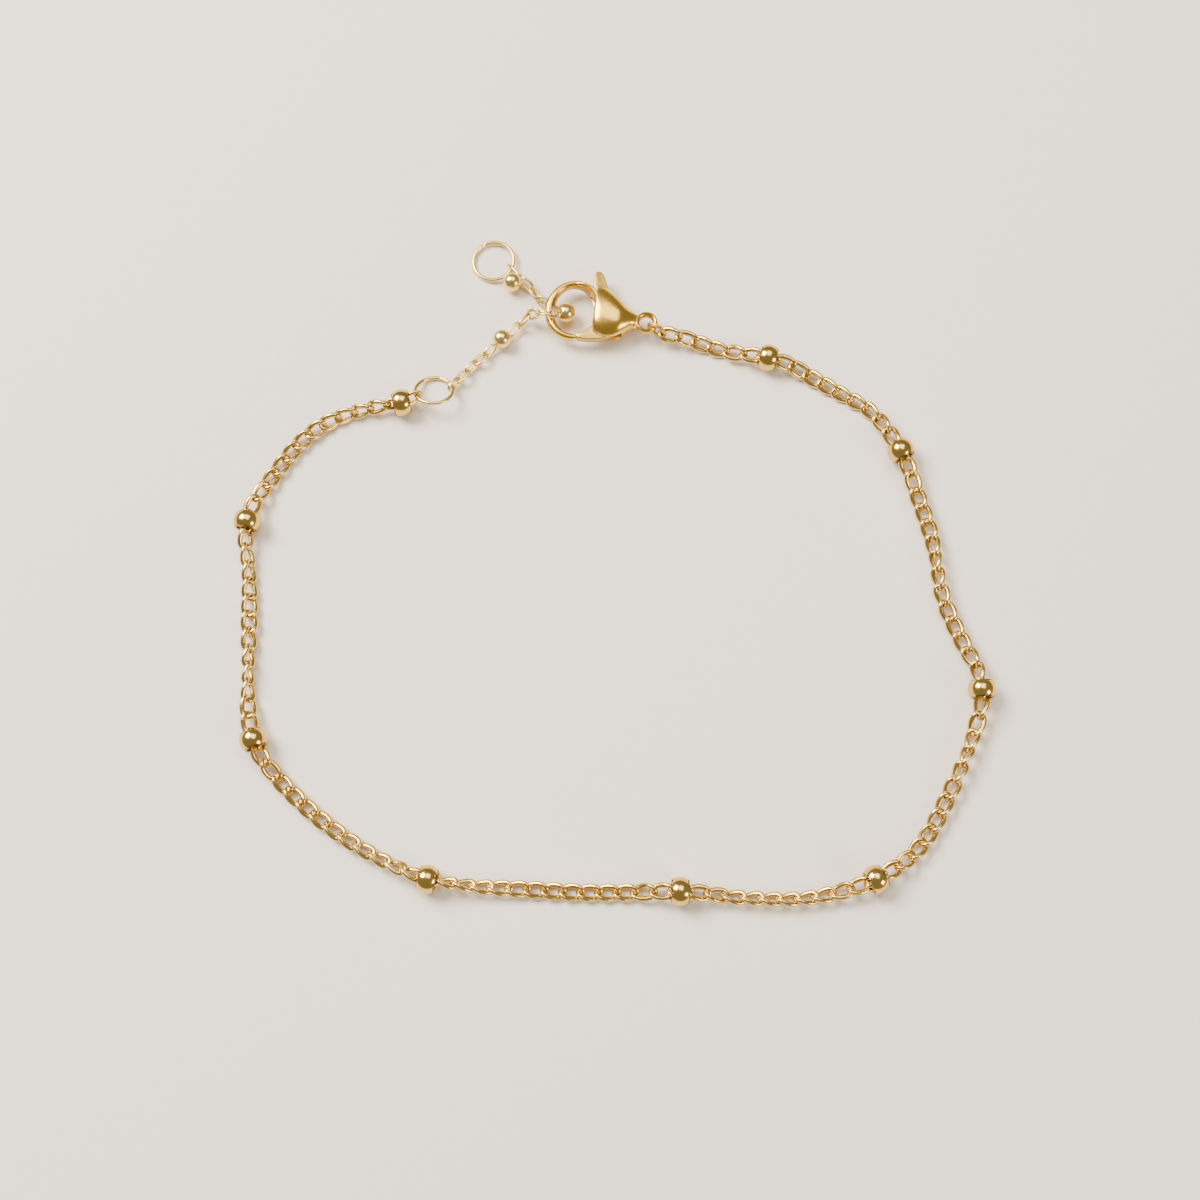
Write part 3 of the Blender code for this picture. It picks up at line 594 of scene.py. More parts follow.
class FinishGroups:
    """The node groups that every finish shares."""

    def __init__(self) -> None:
        """Build each group once."""
        self.tone = self.build_tone()
        self.wear = self.build_wear()
        self.scratch = self.build_scratch()

    @staticmethod
    def place(nodes: bpy.types.Nodes, group: bpy.types.NodeTree) -> bpy.types.Node:
        """Put a group into a material's nodes.

        Args:
            nodes: The material's nodes.
            group: The shared group.

        Returns:
            The new node.
        """
        node = nodes.new("ShaderNodeGroup")
        node.node_tree = group
        return node

    @staticmethod
    def start(
        name: str, inputs: dict[str, str], outputs: dict[str, str]
    ) -> tuple[bpy.types.NodeTree, bpy.types.Node, bpy.types.Node]:
        """Make an empty group with named sockets.

        Args:
            name: The group's name.
            inputs: The type of each input socket by its name.
            outputs: The type of each output socket by its name.

        Returns:
            The group, its input node and its output node.
        """
        group = bpy.data.node_groups.new(name, "ShaderNodeTree")
        for socket, kind in inputs.items():
            group.interface.new_socket(name=socket, in_out="INPUT", socket_type=kind)
        for socket, kind in outputs.items():
            group.interface.new_socket(name=socket, in_out="OUTPUT", socket_type=kind)
        return group, group.nodes.new("NodeGroupInput"), group.nodes.new("NodeGroupOutput")

    def build_tone(self) -> bpy.types.NodeTree:
        """Build soft patches of brighter, smoother and of deeper, duller metal.

        Returns:
            The group.
        """
        group, entry, leave = self.start(
            "polish tone",
            {
                "Bright": "NodeSocketColor",
                "Deep": "NodeSocketColor",
                "Grain": "NodeSocketFloat",
                "Low": "NodeSocketFloat",
                "High": "NodeSocketFloat",
            },
            {"Color": "NodeSocketColor", "Roughness": "NodeSocketFloat"},
        )
        place = group.nodes.new("ShaderNodeTexCoord")
        patches = group.nodes.new("ShaderNodeTexNoise")
        patches.inputs["Detail"].default_value = 3
        mix = group.nodes.new("ShaderNodeMix")
        mix.data_type = "RGBA"
        rough = group.nodes.new("ShaderNodeMapRange")
        group.links.new(place.outputs["Object"], patches.inputs["Vector"])
        group.links.new(entry.outputs["Grain"], patches.inputs["Scale"])
        group.links.new(patches.outputs["Fac"], mix.inputs["Factor"])
        group.links.new(entry.outputs["Bright"], mix.inputs["A"])
        group.links.new(entry.outputs["Deep"], mix.inputs["B"])
        group.links.new(patches.outputs["Fac"], rough.inputs["Value"])
        group.links.new(entry.outputs["Low"], rough.inputs["To Min"])
        group.links.new(entry.outputs["High"], rough.inputs["To Max"])
        group.links.new(mix.outputs["Result"], leave.inputs["Color"])
        group.links.new(rough.outputs["Result"], leave.inputs["Roughness"])
        return group

    def build_wear(self) -> bpy.types.NodeTree:
        """Build the paler metal along the edges that rub.

        Returns:
            The group.
        """
        group, entry, leave = self.start(
            "edge wear",
            {"Color": "NodeSocketColor", "Worn": "NodeSocketColor"},
            {"Color": "NodeSocketColor"},
        )
        shape = group.nodes.new("ShaderNodeNewGeometry")
        edges = group.nodes.new("ShaderNodeMapRange")
        edges.inputs["From Min"].default_value = EDGE_RANGE[0]
        edges.inputs["From Max"].default_value = EDGE_RANGE[1]
        mix = group.nodes.new("ShaderNodeMix")
        mix.data_type = "RGBA"
        group.links.new(shape.outputs["Pointiness"], edges.inputs["Value"])
        group.links.new(edges.outputs["Result"], mix.inputs["Factor"])
        group.links.new(entry.outputs["Color"], mix.inputs["A"])
        group.links.new(entry.outputs["Worn"], mix.inputs["B"])
        group.links.new(mix.outputs["Result"], leave.inputs["Color"])
        return group

    def build_scratch(self) -> bpy.types.NodeTree:
        """Build the height of fine, slightly stretched polishing marks.

        Returns:
            The group.
        """
        group, entry, leave = self.start(
            "polishing marks", {"Grain": "NodeSocketFloat"}, {"Height": "NodeSocketFloat"}
        )
        place = group.nodes.new("ShaderNodeTexCoord")
        stretch = group.nodes.new("ShaderNodeMapping")
        stretch.inputs["Scale"].default_value = MARK_STRETCH
        marks = group.nodes.new("ShaderNodeTexNoise")
        marks.inputs["Detail"].default_value = 4
        group.links.new(place.outputs["Object"], stretch.inputs["Vector"])
        group.links.new(stretch.outputs["Vector"], marks.inputs["Vector"])
        group.links.new(entry.outputs["Grain"], marks.inputs["Scale"])
        group.links.new(marks.outputs["Fac"], leave.inputs["Height"])
        return group


CHAIN_FINISH = Finish(
    "chain gold", (0.78, 0.52, 0.14), (0.56, 0.34, 0.06), (0.15, 0.27), 900, 0.02 * MM, (0.95, 0.72, 0.32)
)
BEAD_FINISH = Finish(
    "bead gold", (0.82, 0.55, 0.16), (0.64, 0.40, 0.08), (0.11, 0.21), 700, 0.015 * MM, (0.95, 0.74, 0.36)
)
CLASP_FINISH = Finish(
    "clasp gold", (0.80, 0.50, 0.09), (0.64, 0.37, 0.04), (0.20, 0.31), 500, 0.02 * MM, (0.92, 0.64, 0.20)
)
LEVER_FINISH = Finish(
    "lever gold", (0.68, 0.43, 0.10), (0.50, 0.30, 0.05), (0.26, 0.38), 800, 0.03 * MM, (0.88, 0.62, 0.22)
)
PALE_FINISH = Finish(
    "pale gold", (0.94, 0.69, 0.22), (0.78, 0.53, 0.12), (0.17, 0.29), 900, 0.015 * MM, (1.0, 0.82, 0.42)
)
BALL_FINISH = Finish(
    "ball gold", (0.98, 0.76, 0.29), (0.88, 0.63, 0.18), (0.17, 0.28), 700, 0.008 * MM, (1.0, 0.85, 0.45)
)


@dataclass
class Wardrobe:
    """Every finish that the pieces wear, built once."""

    chain: bpy.types.Material
    bead: bpy.types.Material
    clasp: bpy.types.Material
    lever: bpy.types.Material
    pale: bpy.types.Material
    ball: bpy.types.Material

    @classmethod
    def build(cls) -> Wardrobe:
        """Build the finishes on one set of shared groups.

        Returns:
            The wardrobe.
        """
        groups = FinishGroups()
        finishes = (CHAIN_FINISH, BEAD_FINISH, CLASP_FINISH, LEVER_FINISH, PALE_FINISH, BALL_FINISH)
        return cls(*(finish.build(groups) for finish in finishes))


def dress(
    piece: bpy.types.Object,
    material: bpy.types.Material,
    body: Body = Body.BRACELET,
    nodes: Sequence[str] = (),
) -> None:
    """Give a finished piece its material and body, and hide the nodes that it stands for.

    Args:
        piece: The finished piece.
        material: What it is made of.
        body: The body that it moves with.
        nodes: The frame's nodes that it replaces.
    """
    piece.data.materials.clear()
    piece.data.materials.append(material)
    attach(piece, body.value)
    if nodes:
        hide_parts(*nodes)
    LOG.info("%s: %d faces", piece.name, len(piece.data.polygons))


@dataclass
class LinkShape:
    """The shape of one chain link, about the origin and along X."""

    pitch: float
    width: float
    wire: float
    reach: float
    bow: float = 0.0
    twist: float = 0.0
    steps: int = 22
    sides: int = 10
    side_cuts: int = 3

    def build(self, name: str) -> bpy.types.Object:
        """Model the link from a ring that is drawn out lengthwise, and twist it.

        Args:
            name: The link's name.

        Returns:
            The link, about its own origin.
        """
        deselect_all()
        half_width = (self.width - self.wire) / 2 - self.bow
        bpy.ops.mesh.primitive_torus_add(
            major_segments=self.steps, minor_segments=self.sides,
            major_radius=half_width, minor_radius=self.wire / 2,
        )
        link = bpy.context.object
        link.name = name
        draw = self.pitch / 2 + self.reach - half_width
        for side in (-1, 1):
            self.select_none(link, "VERT")
            for vertex in link.data.vertices:
                vertex.select = vertex.co.x * side > 0
            bpy.ops.object.mode_set(mode="EDIT")
            bpy.ops.transform.translate(value=(side * draw, 0, 0))
            bpy.ops.object.mode_set(mode="OBJECT")
        self.divide_sides(link)
        self.bow_sides(link)
        if self.twist:
            modifier = link.modifiers.new("twist", "SIMPLE_DEFORM")
            modifier.deform_method = "TWIST"
            modifier.deform_axis = "X"
            modifier.angle = self.twist
            apply_modifiers(link)
        smooth(link, 180)
        return link

    @staticmethod
    def select_none(link: bpy.types.Object, mode: str) -> None:
        """Clear a mesh's selection, and leave edit mode picking points or edges.

        Args:
            link: The link.
            mode: What edit mode picks, VERT or EDGE.
        """
        select_only(link)
        bpy.ops.object.mode_set(mode="EDIT")
        bpy.ops.mesh.select_mode(type=mode)
        bpy.ops.mesh.select_all(action="DESELECT")
        bpy.ops.object.mode_set(mode="OBJECT")

    def divide_sides(self, link: bpy.types.Object) -> None:
        """Divide the two long sides, so that they can twist.

        Args:
            link: The link.
        """
        self.select_none(link, "EDGE")
        for edge in link.data.edges:
            ends = [link.data.vertices[number].co.x for number in edge.vertices]
            edge.select = ends[0] * ends[1] < 0
        bpy.ops.object.mode_set(mode="EDIT")
        bpy.ops.mesh.subdivide(number_cuts=self.side_cuts)
        bpy.ops.mesh.select_mode(type="VERT")
        bpy.ops.object.mode_set(mode="OBJECT")

    def bow_sides(self, link: bpy.types.Object) -> None:
        """Push the middle of each long side outwards, and its neighbours less and less.

        Args:
            link: The link.
        """
        for side in (-1, 1):
            self.select_none(link, "VERT")
            for vertex in link.data.vertices:
                vertex.select = vertex.co.y * side > 0 and abs(vertex.co.x) < 0.001 * MM
            bpy.ops.object.mode_set(mode="EDIT")
            bpy.ops.transform.translate(
                value=(0, side * self.bow, 0),
                use_proportional_edit=True,
                proportional_edit_falloff="SMOOTH",
                proportional_size=self.pitch / 2 + self.reach,
            )
            bpy.ops.object.mode_set(mode="OBJECT")


@dataclass
class WireRing:
    """A round ring of wire with a hairline cut, placed by its middle and the turn of its plane."""

    name: str
    diameter: float
    middle: Vector
    turn: Matrix
    cut_angle: float
    wire: float = 0.35 * MM
    cut: float = 0.05 * MM
    gap: float = 0.06 * MM
    cut_bevel: float = 0.03 * MM
    wire_sides: int = 14
    steps: int = 56

    @property
    def radius(self) -> float:
        """The radius of the middle of the wire."""
        return (self.diameter - self.wire) / 2

    def at(self, angle: float) -> Vector:
        """The point in the middle of the wire at an angle round the ring."""
        flat = Vector((math.cos(angle), math.sin(angle), 0)) * self.radius
        return self.middle + self.turn @ flat

    def wire_at(self, angle: float) -> Vector:
        """The direction of the wire at an angle round the ring."""
        return self.turn @ Vector((-math.sin(angle), math.cos(angle), 0))

    def past(self, angle: float, onward: Vector, wire: float, reach: float) -> float:
        """How far beyond the ring's wire a link that lies along onward ends, so that it hooks on.

        Args:
            angle: Where on the ring the link hangs.
            onward: The link's direction.
            wire: The thickness of the link's wire.
            reach: How far the link's wire reaches past where it meets its neighbour.

        Returns:
            The distance past the middle of the ring's wire.
        """
        slant = abs(self.wire_at(angle).dot(onward.normalized()))
        half = (self.wire + wire * FRAME_CORNER_SHARE * slant) / 2 / math.sqrt(1 - slant**2)
        return half + wire / 2 * FRAME_CORNER_SHARE + self.gap - reach

    def roll_through(self, angle: float, onward: Vector) -> float:
        """Work out the roll at which the hole of a link faces the ring's wire.

        Args:
            angle: Where on the ring the link hangs.
            onward: The link's direction.

        Returns:
            The roll in degrees.
        """
        wire = self.wire_at(angle)
        axis = onward.normalized()
        side = UP.cross(axis).normalized()
        spread = wire.cross(axis)
        return math.degrees(math.atan2(spread.dot(axis.cross(side)), spread.dot(side)))

    def build(self, shift: Vector) -> bpy.types.Object:
        """Model the ring by spinning the wire's round section from one side of the cut to the other.

        Args:
            shift: How far the frame lies from the bracelet's own place.

        Returns:
            The finished ring.
        """
        deselect_all()
        bpy.ops.mesh.primitive_circle_add(
            vertices=self.wire_sides, radius=self.wire / 2, fill_type="NGON",
            location=(self.radius, 0, 0), rotation=(math.pi / 2, 0, 0),
        )
        ring = bpy.context.object
        ring.name = self.name
        settle(ring)
        bpy.ops.object.mode_set(mode="EDIT")
        bpy.ops.mesh.select_all(action="SELECT")
        bpy.ops.mesh.spin(
            steps=self.steps, angle=math.tau - self.cut / self.radius, center=(0, 0, 0), axis=(0, 0, 1)
        )
        bpy.ops.object.mode_set(mode="OBJECT")
        tidy_normals(ring)
        bevel(ring, self.cut_bevel, segments=2, degrees=60)
        facing = Matrix.Rotation(self.cut_angle, 4, "Z")
        place = Matrix.Translation(self.middle + shift) @ self.turn.to_4x4()
        settle(ring, place @ facing)
        smooth(ring)
        return ring


@dataclass
class CurbChain:
    """The curb chain and its round beads."""

    clasp_ring: WireRing
    jump_ring: WireRing
    shift: Vector
    pitch: float = 1.50 * MM
    width: float = 1.60 * MM
    width_in_bead: float = 1.26 * MM
    wire: float = 0.46 * MM
    bow: float = 0.10 * MM
    frame_wire: float = 0.35 * MM
    bead_diameter: float = 2.40 * MM
    bead_length: float = 1.44 * MM
    bore: float = 1.60 * MM
    bead_bevel: float = 0.05 * MM
    bead_spin: float = 0.7
    twist: float = math.radians(90)
    plateau: float = 1.10 * MM
    fall: float = 3.00 * MM
    on_jump_ring: float = math.radians(205)
    first_roll: float = 45
    last_roll: float = 23

    def __post_init__(self) -> None:
        """Lay the chain's route between its two rings."""
        self.reach = frame_reach(self.frame_wire)
        rows = [Vector((x * MM, y * MM, 0)) for x, y, _, _ in CURB_ROUTE]
        hooks = ((self.clasp_ring, 0.0, rows[0]), (self.jump_ring, self.on_jump_ring, rows[-1]))
        self.ends = [ring.at(angle) for ring, angle, _ in hooks]
        joints = []
        for (ring, angle, row), end in zip(hooks, self.ends):
            onward = end - Vector((*row.xy, end.z))
            past = ring.past(angle, onward, self.frame_wire, self.reach)
            joints.append(end + onward.normalized() * past)
        points = [joints[0], *rows, joints[1]]
        self.path = Path([(point.x, point.y) for point in points])
        self.rolls = [self.first_roll, *[row[2] for row in CURB_ROUTE], self.last_roll]
        self.count = round(self.path.length / self.pitch)
        self.step = self.path.length / self.count
        self.beads = []
        for row, mark in zip(CURB_ROUTE, self.path.marks[1:-1]):
            if row[3] is not None:
                middle = (math.floor((mark - row[3] * MM) / self.step) + 0.5) * self.step
                self.beads.append(float(middle + row[3] * MM))

    def roll(self, distance: float) -> float:
        """The chain's roll at a distance along it."""
        return math.radians(float(np.interp(distance, self.path.marks, self.rolls)))

    def lying_height(self, roll: float) -> float:
        """Work out how high the chain's middle lies above the surface, resting on its links.

        Args:
            roll: The chain's roll in radians.

        Returns:
            The height.
        """
        lowest = 0.0
        for step in range(FRAME_LINK_STEPS):
            angle = math.tau * (step + 0.5) / FRAME_LINK_STEPS
            blunt = abs(math.sin(angle)) ** FRAME_LINK_BLUNTNESS
            lowest = max(lowest, abs(blunt * math.sin(roll + self.twist / 2 * math.cos(angle))))
        return lowest * (self.width - self.wire) / 2 + self.wire / 2

    def height(self, distance: float) -> float:
        """Work out the chain's height: held up by its ends and its beads, and lying between them.

        Args:
            distance: The distance along the chain.

        Returns:
            The height of its middle.
        """
        lying = self.lying_height(self.roll(distance))
        supports = [(bead, self.bead_diameter / 2) for bead in self.beads]
        supports += [(0.0, self.ends[0].z), (self.path.length, self.ends[1].z)]
        height = lying
        for place, top in supports:
            away = (abs(distance - place) - self.plateau) / self.fall
            fade = 0.5 + 0.5 * math.cos(math.pi * min(max(away, 0), 1))
            height = max(height, lying + (top - lying) * fade)
        return height

    def at(self, distance: float) -> Vector:
        """The chain's middle in space, in the frame's own place."""
        flat = self.path.at(distance)
        return Vector((flat.x, flat.y, self.height(distance))) + self.shift

    def places(self, first: int, last: int) -> list[Matrix]:
        """Work out the places of a run of links, which are narrower inside a bead.

        Args:
            first: The number of the run's first link.
            last: The number past its last one.

        Returns:
            The links' places.
        """
        made = []
        for number in range(first, last):
            middle = (number + 0.5) * self.step
            near = min(abs(middle - bead) for bead in self.beads)
            in_bead = near < self.bead_length / 2 + self.step / 3
            made.append(
                link_place(
                    self.at(number * self.step),
                    self.at((number + 1) * self.step),
                    self.roll(middle),
                    self.pitch,
                    self.width_in_bead / self.width if in_bead else 1.0,
                )
            )
        return made

    def build_links(self, wardrobe: Wardrobe) -> None:
        """Stamp the twisted link along both runs of the chain.

        Args:
            wardrobe: The finishes.
        """
        shape = LinkShape(self.pitch, self.width, self.wire, self.reach, self.bow, self.twist)
        link = shape.build("curb_link")
        half = self.count // 2
        for side, first, last in (("right", 0, half), ("left", half, self.count)):
            run = stamp(f"curb_links_{side}", link, self.places(first, last))
            dress(run, wardrobe.chain, nodes=[f"curb_chain_{side}"])
        bpy.data.objects.remove(link)

    def build_bead(self) -> bpy.types.Object:
        """Model one bead: a round ball cut flat at both ends and drilled along X.

        Returns:
            The bead, about its own origin.
        """
        deselect_all()
        bpy.ops.mesh.primitive_uv_sphere_add(
            segments=48, ring_count=32, radius=self.bead_diameter / 2, rotation=(0, math.pi / 2, 0)
        )
        bead = bpy.context.object
        bead.name = "bead_master"
        settle(bead)
        for side in (-1, 1):
            bpy.ops.object.mode_set(mode="EDIT")
            bpy.ops.mesh.select_all(action="SELECT")
            bpy.ops.mesh.bisect(
                plane_co=(side * self.bead_length / 2, 0, 0),
                plane_no=(side, 0, 0),
                use_fill=True,
                clear_outer=True,
            )
            bpy.ops.object.mode_set(mode="OBJECT")
        deselect_all()
        bpy.ops.mesh.primitive_cylinder_add(
            vertices=48, radius=self.bore / 2, depth=3 * self.bead_length, rotation=(0, math.pi / 2, 0)
        )
        combine(bead, bpy.context.object, Operation.CUT)
        bevel(bead, self.bead_bevel, segments=3, degrees=35)
        tidy_normals(bead)
        smooth(bead, 35)
        return bead

    def build_beads(self, wardrobe: Wardrobe) -> None:
        """Put a copy of the bead at each of its places on the chain.

        Args:
            wardrobe: The finishes.
        """
        master = self.build_bead()
        for number, place in enumerate(self.beads):
            ahead = self.at(place + self.bead_length / 2) - self.at(place - self.bead_length / 2)
            middle = self.at(place)
            middle.z = self.bead_diameter / 2 + self.shift.z
            turn = Matrix.Rotation(math.atan2(ahead.y, ahead.x), 4, "Z")
            spin = Matrix.Rotation(number * self.bead_spin, 4, "X")
            name = f"bead_{len(self.beads) - number}"
            bead = stamp(f"round_{name}", master, [Matrix.Translation(middle) @ turn @ spin])
            dress(bead, wardrobe.bead, nodes=[name])
        bpy.data.objects.remove(master)


@dataclass
class Extender:
    """The fine extender chain with its three balls."""

    jump_ring: WireRing
    end_ring: WireRing
    shift: Vector
    pitch: float = 1.06 * MM
    width: float = 1.10 * MM
    wire: float = 0.29 * MM
    bow: float = 0.08 * MM
    frame_wire: float = 0.22 * MM
    ball_diameter: float = 1.75 * MM
    solder: float = 0.05 * MM
    spare_share: float = 0.35
    roll_step: float = 90
    on_jump_ring: float = math.radians(20)
    on_end_ring: float = math.radians(-115)

    def places(self) -> list[Matrix]:
        """Work out the places of all its links, run by run.

        Returns:
            The links' places.
        """
        self.reach = frame_reach(self.frame_wire)
        balls = [Vector(ball) * MM for ball in EXTENDER_BALLS]
        stops = [self.jump_ring.at(self.on_jump_ring), *balls, self.end_ring.at(self.on_end_ring)]
        soldered = self.reach + self.ball_diameter / 2 - self.solder
        final = len(EXTENDER_RUNS) - 1
        made = []
        for number, (run, roll) in enumerate(zip(EXTENDER_RUNS, EXTENDER_ROLLS)):
            path = Path([stops[number], *[Vector(point) * MM for point in run], stops[number + 1]])
            first, last = soldered, path.length - soldered
            if number == 0:
                onward = path.at(0) - path.at(self.pitch)
                first = -self.jump_ring.past(self.on_jump_ring, onward, self.frame_wire, self.reach)
                roll = self.jump_ring.roll_through(self.on_jump_ring, -onward)
            if number == final:
                onward = path.at(path.length) - path.at(path.length - self.pitch)
                past = self.end_ring.past(self.on_end_ring, onward, self.frame_wire, self.reach)
                last = path.length + past
                roll = self.end_ring.roll_through(self.on_end_ring, onward)
            count = max(1, math.floor((last - first) / self.pitch + self.spare_share))
            step = (last - first) / count
            for place in range(count):
                start = path.at(first + place * step) + self.shift
                end = path.at(first + (place + 1) * step) + self.shift
                turned = math.radians(roll + self.roll_step * place)
                made.append(link_place(start, end, turned, self.pitch))
        return made

    def build(self, wardrobe: Wardrobe) -> None:
        """Stamp the links along the runs and set the balls between them.

        Args:
            wardrobe: The finishes.
        """
        places = self.places()
        shape = LinkShape(self.pitch, self.width, self.wire, self.reach, self.bow, steps=18, sides=8)
        link = shape.build("fine_link")
        links = stamp("extender_links", link, places)
        bpy.data.objects.remove(link)
        dress(links, wardrobe.pale, nodes=["extender_chain"])
        for letter, ball in zip("abc", EXTENDER_BALLS):
            deselect_all()
            middle = Vector(ball) * MM + self.shift
            bpy.ops.mesh.primitive_uv_sphere_add(
                segments=48, ring_count=24, radius=self.ball_diameter / 2, location=middle
            )
            piece = bpy.context.object
            piece.name = f"extender_ball_{letter}"
            settle(piece)
            smooth(piece, 180)
            dress(piece, wardrobe.ball)


@dataclass
class Clasp:
    """The lobster clasp: hollow body with its hook and tail, sprung lever and rivet."""

    place: Matrix
    body_sides: int = 36
    body_steps: int = 30
    body_squareness: float = 0.92
    body_bevel: float = 0.05 * MM
    hook_centre: tuple[float, float] = (-3.10 * MM, 0.30 * MM)
    hook_reach: float = 2.20 * MM
    hook_rise: float = 2.55 * MM
    hook_first: float = 20
    hook_last: float = 280
    hook_steps: int = 78
    hook_sides: int = 20
    tip_slant: float = math.radians(23.5)
    tail_centre: tuple[float, float] = (3.46 * MM, -0.10 * MM)
    tail_diameter: float = 2.12 * MM
    tail_bar: float = 0.48 * MM
    tail_thickness: float = 0.80 * MM
    pivot: tuple[float, float] = (0.15 * MM, -0.75 * MM)
    lever_thickness: float = 0.80 * MM
    lever_gap: float = 0.10 * MM
    rivet_diameter: float = 0.70 * MM
    rivet_gap: float = 0.01 * MM
    lever_hole: float = 0.82 * MM
    lever_bevel: float = 0.12 * MM
    drill_length: float = 6 * MM
    rib_first: float = 66
    rib_last: float = 88
    rib_count: int = 6
    rib_depth: float = 0.035 * MM

    def build_shell(self) -> bpy.types.Object:
        """Model the egg-shaped body by extruding its mouth through smoothed sections.

        Returns:
            The body without its hook and tail.
        """
        table = np.array(BODY_SECTIONS) * MM
        path = Path(table)
        rings = []
        for step in range(self.body_steps + 1):
            along, low, high, thick = self.row(path, step / self.body_steps)
            ring = []
            for side in range(self.body_sides):
                angle = math.tau * side / self.body_sides
                out, rise = math.cos(angle), math.sin(angle)
                out = math.copysign(abs(out) ** self.body_squareness, out)
                rise = math.copysign(abs(rise) ** self.body_squareness, rise)
                ring.append(Vector((along, (low + high) / 2 + out * (high - low) / 2, rise * thick / 2)))
            rings.append(ring)
        return extrude_through("clasp_shell", rings)

    @staticmethod
    def row(path: Path, share: float) -> tuple[float, ...]:
        """A smoothed row of a table, at a share of the way through it."""
        inside = share * path.length
        return tuple(float(np.interp(inside, path.distances, column)) for column in path.points.T)

    def rib(self, degrees: float) -> float:
        """Work out how much the fine ribs at the hook's neck stand up.

        Args:
            degrees: The angle round the hook.

        Returns:
            Their height there.
        """
        if not self.rib_first < degrees < self.rib_last:
            return 0.0
        turn = (degrees - self.rib_first) / (self.rib_last - self.rib_first)
        return self.rib_depth * (0.5 - 0.5 * math.cos(math.tau * self.rib_count * turn))

    def build_hook(self) -> bpy.types.Object:
        """Model the hook by extruding its oval bar round to the slanted tip.

        Returns:
            The hook.
        """
        table = np.array(HOOK_SECTIONS, float)
        rings = []
        for step in range(self.hook_steps + 1):
            degrees = self.hook_first + (self.hook_last - self.hook_first) * step / self.hook_steps
            angle = math.radians(degrees)
            cosine, sine = math.cos(angle), math.sin(angle)
            middle = Vector((self.hook_centre[0], self.hook_centre[1], 0))
            middle += Vector((self.hook_reach * cosine, self.hook_rise * sine, 0))
            outward = Vector((self.hook_rise * cosine, self.hook_reach * sine, 0)).normalized()
            width = float(np.interp(degrees, table[:, 0], table[:, 1])) * MM / 2 + self.rib(degrees)
            thickness = float(np.interp(degrees, table[:, 0], table[:, 2])) * MM / 2 + self.rib(degrees)
            ring = []
            for side in range(self.hook_sides):
                lean = math.tau * (side + 0.5) / self.hook_sides
                point = middle + outward * width * math.cos(lean) + UP * thickness * math.sin(lean)
                if step == self.hook_steps:
                    point += UP.cross(outward) * (point - middle).dot(outward) * math.tan(self.tip_slant)
                ring.append(point)
            rings.append(ring)
        return extrude_through("clasp_hook", rings)

    def build_tail(self) -> bpy.types.Object:
        """Model the eye at the tail from a ring that is drawn out through its thickness.

        Returns:
            The eye.
        """
        deselect_all()
        bpy.ops.mesh.primitive_torus_add(
            major_segments=48, minor_segments=16,
            major_radius=(self.tail_diameter - self.tail_bar) / 2, minor_radius=self.tail_bar / 2,
        )
        tail = bpy.context.object
        tail.name = "clasp_tail"
        tail.scale = (1, 1, self.tail_thickness / self.tail_bar)
        tail.location = (*self.tail_centre, 0)
        return settle(tail)

    def pin(self, diameter: float) -> bpy.types.Object:
        """Model a round pin through the clasp at the lever's pivot.

        Args:
            diameter: The pin's diameter.

        Returns:
            The pin, longer than the clasp is thick.
        """
        deselect_all()
        bpy.ops.mesh.primitive_cylinder_add(
            vertices=32, radius=diameter / 2, depth=self.drill_length, location=(*self.pivot, 0)
        )
        return settle(bpy.context.object)

    def build_body(self, wardrobe: Wardrobe) -> None:
        """Join the body, hook and tail, and cut the lever's slot and the rivet's hole.

        Args:
            wardrobe: The finishes.
        """
        body = self.build_shell()
        body.name = "clasp_body"
        combine(body, self.build_hook(), Operation.JOIN)
        combine(body, self.build_tail(), Operation.JOIN)
        outline = [(x * MM, y * MM) for x, y in SLOT_OUTLINE]
        slot = plate("lever_slot", outline, self.lever_thickness + 2 * self.lever_gap)
        combine(body, slot, Operation.CUT)
        bevel(body, self.body_bevel, segments=2, degrees=50)
        combine(body, self.pin(self.rivet_diameter + 2 * self.rivet_gap), Operation.CUT)
        settle(body, self.place)
        smooth(body, 32)
        dress(body, wardrobe.clasp, nodes=["claw_body"])

    def build_lever(self, wardrobe: Wardrobe) -> None:
        """Model the lever, from its gate to its thumb nub, as one bevelled plate.

        Args:
            wardrobe: The finishes.
        """
        outline = [((x * MM + self.pivot[0]), (y * MM + self.pivot[1])) for x, y in LEVER_OUTLINE]
        lever = plate("gate_lever", outline, self.lever_thickness)
        combine(lever, self.pin(self.lever_hole), Operation.CUT)
        bevel(lever, self.lever_bevel, segments=3, degrees=50)
        settle(lever, self.place)
        smooth(lever, 40)
        dress(lever, wardrobe.lever, Body.LEVER, nodes=["clasp_lever"])

    def build_rivet(self, wardrobe: Wardrobe) -> None:
        """Model the rivet, whose ends are ground flush with the body.

        Args:
            wardrobe: The finishes.
        """
        rivet = self.pin(self.rivet_diameter)
        rivet.name = "flush_rivet"
        combine(rivet, self.build_shell(), Operation.KEEP)
        settle(rivet, self.place)
        smooth(rivet, 40)
        dress(rivet, wardrobe.clasp, nodes=["clasp_rivet"])

    def build(self, wardrobe: Wardrobe) -> None:
        """Build every piece of the clasp.

        Args:
            wardrobe: The finishes.
        """
        self.build_body(wardrobe)
        self.build_lever(wardrobe)
        self.build_rivet(wardrobe)


